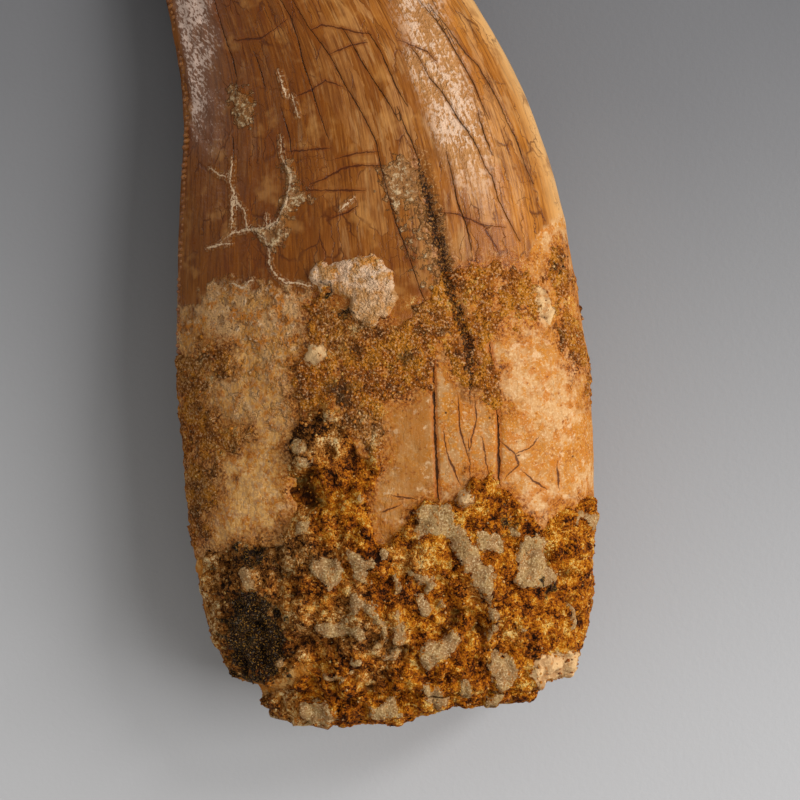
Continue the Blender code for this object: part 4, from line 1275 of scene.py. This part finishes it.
def sand_tree():
    """Scatters angular grains over the crust, as thick as its sand attribute says."""
    tree, given = node_tree("scattered_sand", (
        ("Grains per square metre", "NodeSocketFloat"), ("Smallest grain", "NodeSocketFloat"),
        ("Largest grain", "NodeSocketFloat"), ("Seed", "NodeSocketInt"), ("Material", "NodeSocketMaterial")))
    share = add_node(tree, "GeometryNodeInputNamedAttribute", {"Name": "sand"}, data_type="FLOAT")
    density = add_node(tree, "ShaderNodeMath", {0: given["Grains per square metre"], 1: share.outputs[0]},
                       operation="MULTIPLY")
    points = add_node(tree, "GeometryNodeDistributePointsOnFaces",
                      {"Mesh": given["Geometry"], "Density": density.outputs[0], "Seed": given["Seed"]})
    grain = add_node(tree, "GeometryNodeMeshIcoSphere", {"Radius": 1.0, "Subdivisions": 1})
    size = add_node(tree, "FunctionNodeRandomValue",
                    {2: given["Smallest grain"], 3: given["Largest grain"], "Seed": given["Seed"]})
    shape = add_node(tree, "FunctionNodeRandomValue",
                     {0: (0.7, 0.7, 0.6), 1: (1.25, 1.1, 1.0), "Seed": given["Seed"]},
                     data_type="FLOAT_VECTOR")
    scale = add_node(tree, "ShaderNodeVectorMath", {0: shape.outputs[0], "Scale": size.outputs[1]},
                     operation="SCALE")
    turn = add_node(tree, "FunctionNodeRandomValue",
                    {0: (0.0, 0.0, 0.0), 1: (2 * pi, 2 * pi, 2 * pi), "Seed": given["Seed"]},
                    data_type="FLOAT_VECTOR")
    grains = add_node(tree, "GeometryNodeInstanceOnPoints",
                      {"Points": points.outputs["Points"], "Instance": grain.outputs["Mesh"],
                       "Rotation": turn.outputs[0], "Scale": scale.outputs[0]})
    tone = add_node(tree, "FunctionNodeRandomValue", {2: 0.0, 3: 1.0, "Seed": 7})
    marked = add_node(tree, "GeometryNodeStoreNamedAttribute",
                      {"Geometry": grains.outputs[0], "Name": "tone", "Value": tone.outputs[1]},
                      data_type="FLOAT", domain="INSTANCE")
    real = add_node(tree, "GeometryNodeRealizeInstances", {0: marked.outputs[0]})
    coated = add_node(tree, "GeometryNodeSetMaterial",
                      {"Geometry": real.outputs[0], "Material": given["Material"]})
    add_node(tree, "NodeGroupOutput", {0: coated.outputs[0]})
    return tree


def serration_tree():
    """Sets a row of chisel-shaped serrations along an edge of the crown."""
    tree, given = node_tree("edge_serrations", (
        ("Spacing", "NodeSocketFloat"), ("Size", "NodeSocketVector"), ("Seed", "NodeSocketInt"),
        ("Material", "NodeSocketMaterial")))
    curve = add_node(tree, "GeometryNodeMeshToCurve", {"Mesh": given["Geometry"]})
    even = add_node(tree, "GeometryNodeResampleCurve",
                    {"Curve": curve.outputs[0], "Length": given["Spacing"]}, mode="LENGTH")
    outward = add_node(tree, "GeometryNodeInputNamedAttribute", {"Name": "outward"},
                       data_type="FLOAT_VECTOR")
    facing = add_node(tree, "FunctionNodeAlignRotationToVector", {"Vector": outward.outputs[0]},
                      axis="X")
    tangent = add_node(tree, "GeometryNodeInputTangent")
    facing = add_node(tree, "FunctionNodeAlignRotationToVector",
                      {"Rotation": facing.outputs[0], "Vector": tangent.outputs[0]},
                      axis="Y", pivot_axis="X")
    block = add_node(tree, "GeometryNodeMeshCube", {"Size": given["Size"]})
    rounded = add_node(tree, "GeometryNodeSubdivisionSurface",
                       {"Mesh": block.outputs[0], "Level": 2, "Edge Crease": 0.2})
    vary = add_node(tree, "FunctionNodeRandomValue",
                    {0: (0.75, 0.85, 0.85), 1: (1.15, 1.08, 1.1), "Seed": given["Seed"]},
                    data_type="FLOAT_VECTOR")
    teeth = add_node(tree, "GeometryNodeInstanceOnPoints",
                     {"Points": even.outputs[0], "Instance": rounded.outputs[0],
                      "Rotation": facing.outputs[0], "Scale": vary.outputs[0]})
    real = add_node(tree, "GeometryNodeRealizeInstances", {0: teeth.outputs[0]})
    coated = add_node(tree, "GeometryNodeSetMaterial",
                      {"Geometry": real.outputs[0], "Material": given["Material"]})
    add_node(tree, "NodeGroupOutput", {0: coated.outputs[0]})
    return tree


def edge_path(turn, first, last):
    """A line along one edge of the crown, with the direction that faces away from it."""
    points, outs = [], []
    for place in np.linspace(first, last, EDGE_POINTS):
        edge = section(place, np.array([turn]))[0]
        opposite = section(place, np.array([0.5 - turn]))[0]
        out = (edge - opposite) / np.linalg.norm(edge - opposite)
        points.append(edge - out * SERRATION_SINK)
        outs.append(out)
    mesh = bpy.data.meshes.new("edge_path")
    mesh.from_pydata(((np.array(points) + FORM_TO_FRAME) * MM).tolist(),
                     [(k, k + 1) for k in range(EDGE_POINTS - 1)], [])
    field = mesh.attributes.new("outward", "FLOAT_VECTOR", "POINT")
    field.data.foreach_set("vector", np.array(outs).ravel())
    return mesh


def add_light(name, place, size, power, colour):
    """A soft light that faces the middle of the stage."""
    lamp = bpy.data.lights.new(name, "AREA")
    lamp.shape = "RECTANGLE"
    lamp.size, lamp.size_y = size
    lamp.energy = power
    lamp.color = colour
    light = bpy.data.objects.new(name, lamp)
    light.location = place
    light.rotation_euler = (Vector(STAGE_MIDDLE) - Vector(place)).to_track_quat("-Z", "Y").to_euler()
    bpy.context.scene.collection.objects.link(light)


def set_stage():
    """Floor, soft studio lights, even surroundings and the camera at the photograph's angle."""
    reach = FLOOR_SIDE / 2
    corners = [(-reach, -reach, 0), (reach, -reach, 0), (reach, reach, 0), (-reach, reach, 0)]
    floor_mesh = bpy.data.meshes.new("floor")
    floor_mesh.from_pydata(corners, [], [(0, 1, 2, 3)])
    floor_mesh.materials.append(tabletop())
    floor = bpy.data.objects.new("floor", floor_mesh)
    bpy.context.scene.collection.objects.link(floor)

    for lamp in LAMPS:
        add_light(*lamp)

    world = bpy.data.worlds.new("even_studio")
    world.use_nodes = True
    ground = world.node_tree.nodes["Background"]
    colour, strength = SURROUNDINGS
    ground.inputs["Color"].default_value = linear(colour)
    ground.inputs["Strength"].default_value = strength
    bpy.context.scene.world = world
    bpy.context.scene.view_settings.view_transform = "Standard"

    lens = bpy.data.cameras.new("photo_view")
    lens.lens = LENS
    lens.sensor_width = SENSOR
    lens.clip_start, lens.clip_end = 0.01, 10.0
    camera = bpy.data.objects.new("photo_view", lens)
    camera.location = (AIM + FORM_TO_FRAME - DISTANCE * AHEAD) * MM
    camera.rotation_euler = (-TILT, 0.0, 0.0)
    bpy.context.scene.collection.objects.link(camera)
    bpy.context.scene.camera = camera


def build():
    """Makes every piece of the tooth, and the stage."""
    dress("tooth_body", tooth_piece(), enamel_and_dentine(), ("tooth",))
    crust = crust_piece()
    scatter = sand_tree()
    for name, tones, roughness, density, smallest, largest, seed in SANDS:
        material = sand(name, tones, roughness)
        grains = plain_result(name, crust.copy(), scatter, {
            "Grains per square metre": density, "Smallest grain": smallest * MM,
            "Largest grain": largest * MM, "Seed": seed, "Material": material})
        dress(name, grains, material)
    dress("sandstone_crust", crust, sandstone())

    serrations = serration_tree()
    enamel = serrated_enamel()
    size = tuple(side * MM for side in SERRATION_SIZE)
    for name, turn, first, last, seed in SERRATED_EDGES:
        path = edge_path(turn, first, last)
        row = plain_result(name, path, serrations, {
            "Spacing": SERRATION_SPACING * MM, "Size": size, "Seed": seed, "Material": enamel})
        dress(name, row, enamel)
    set_stage()


build()
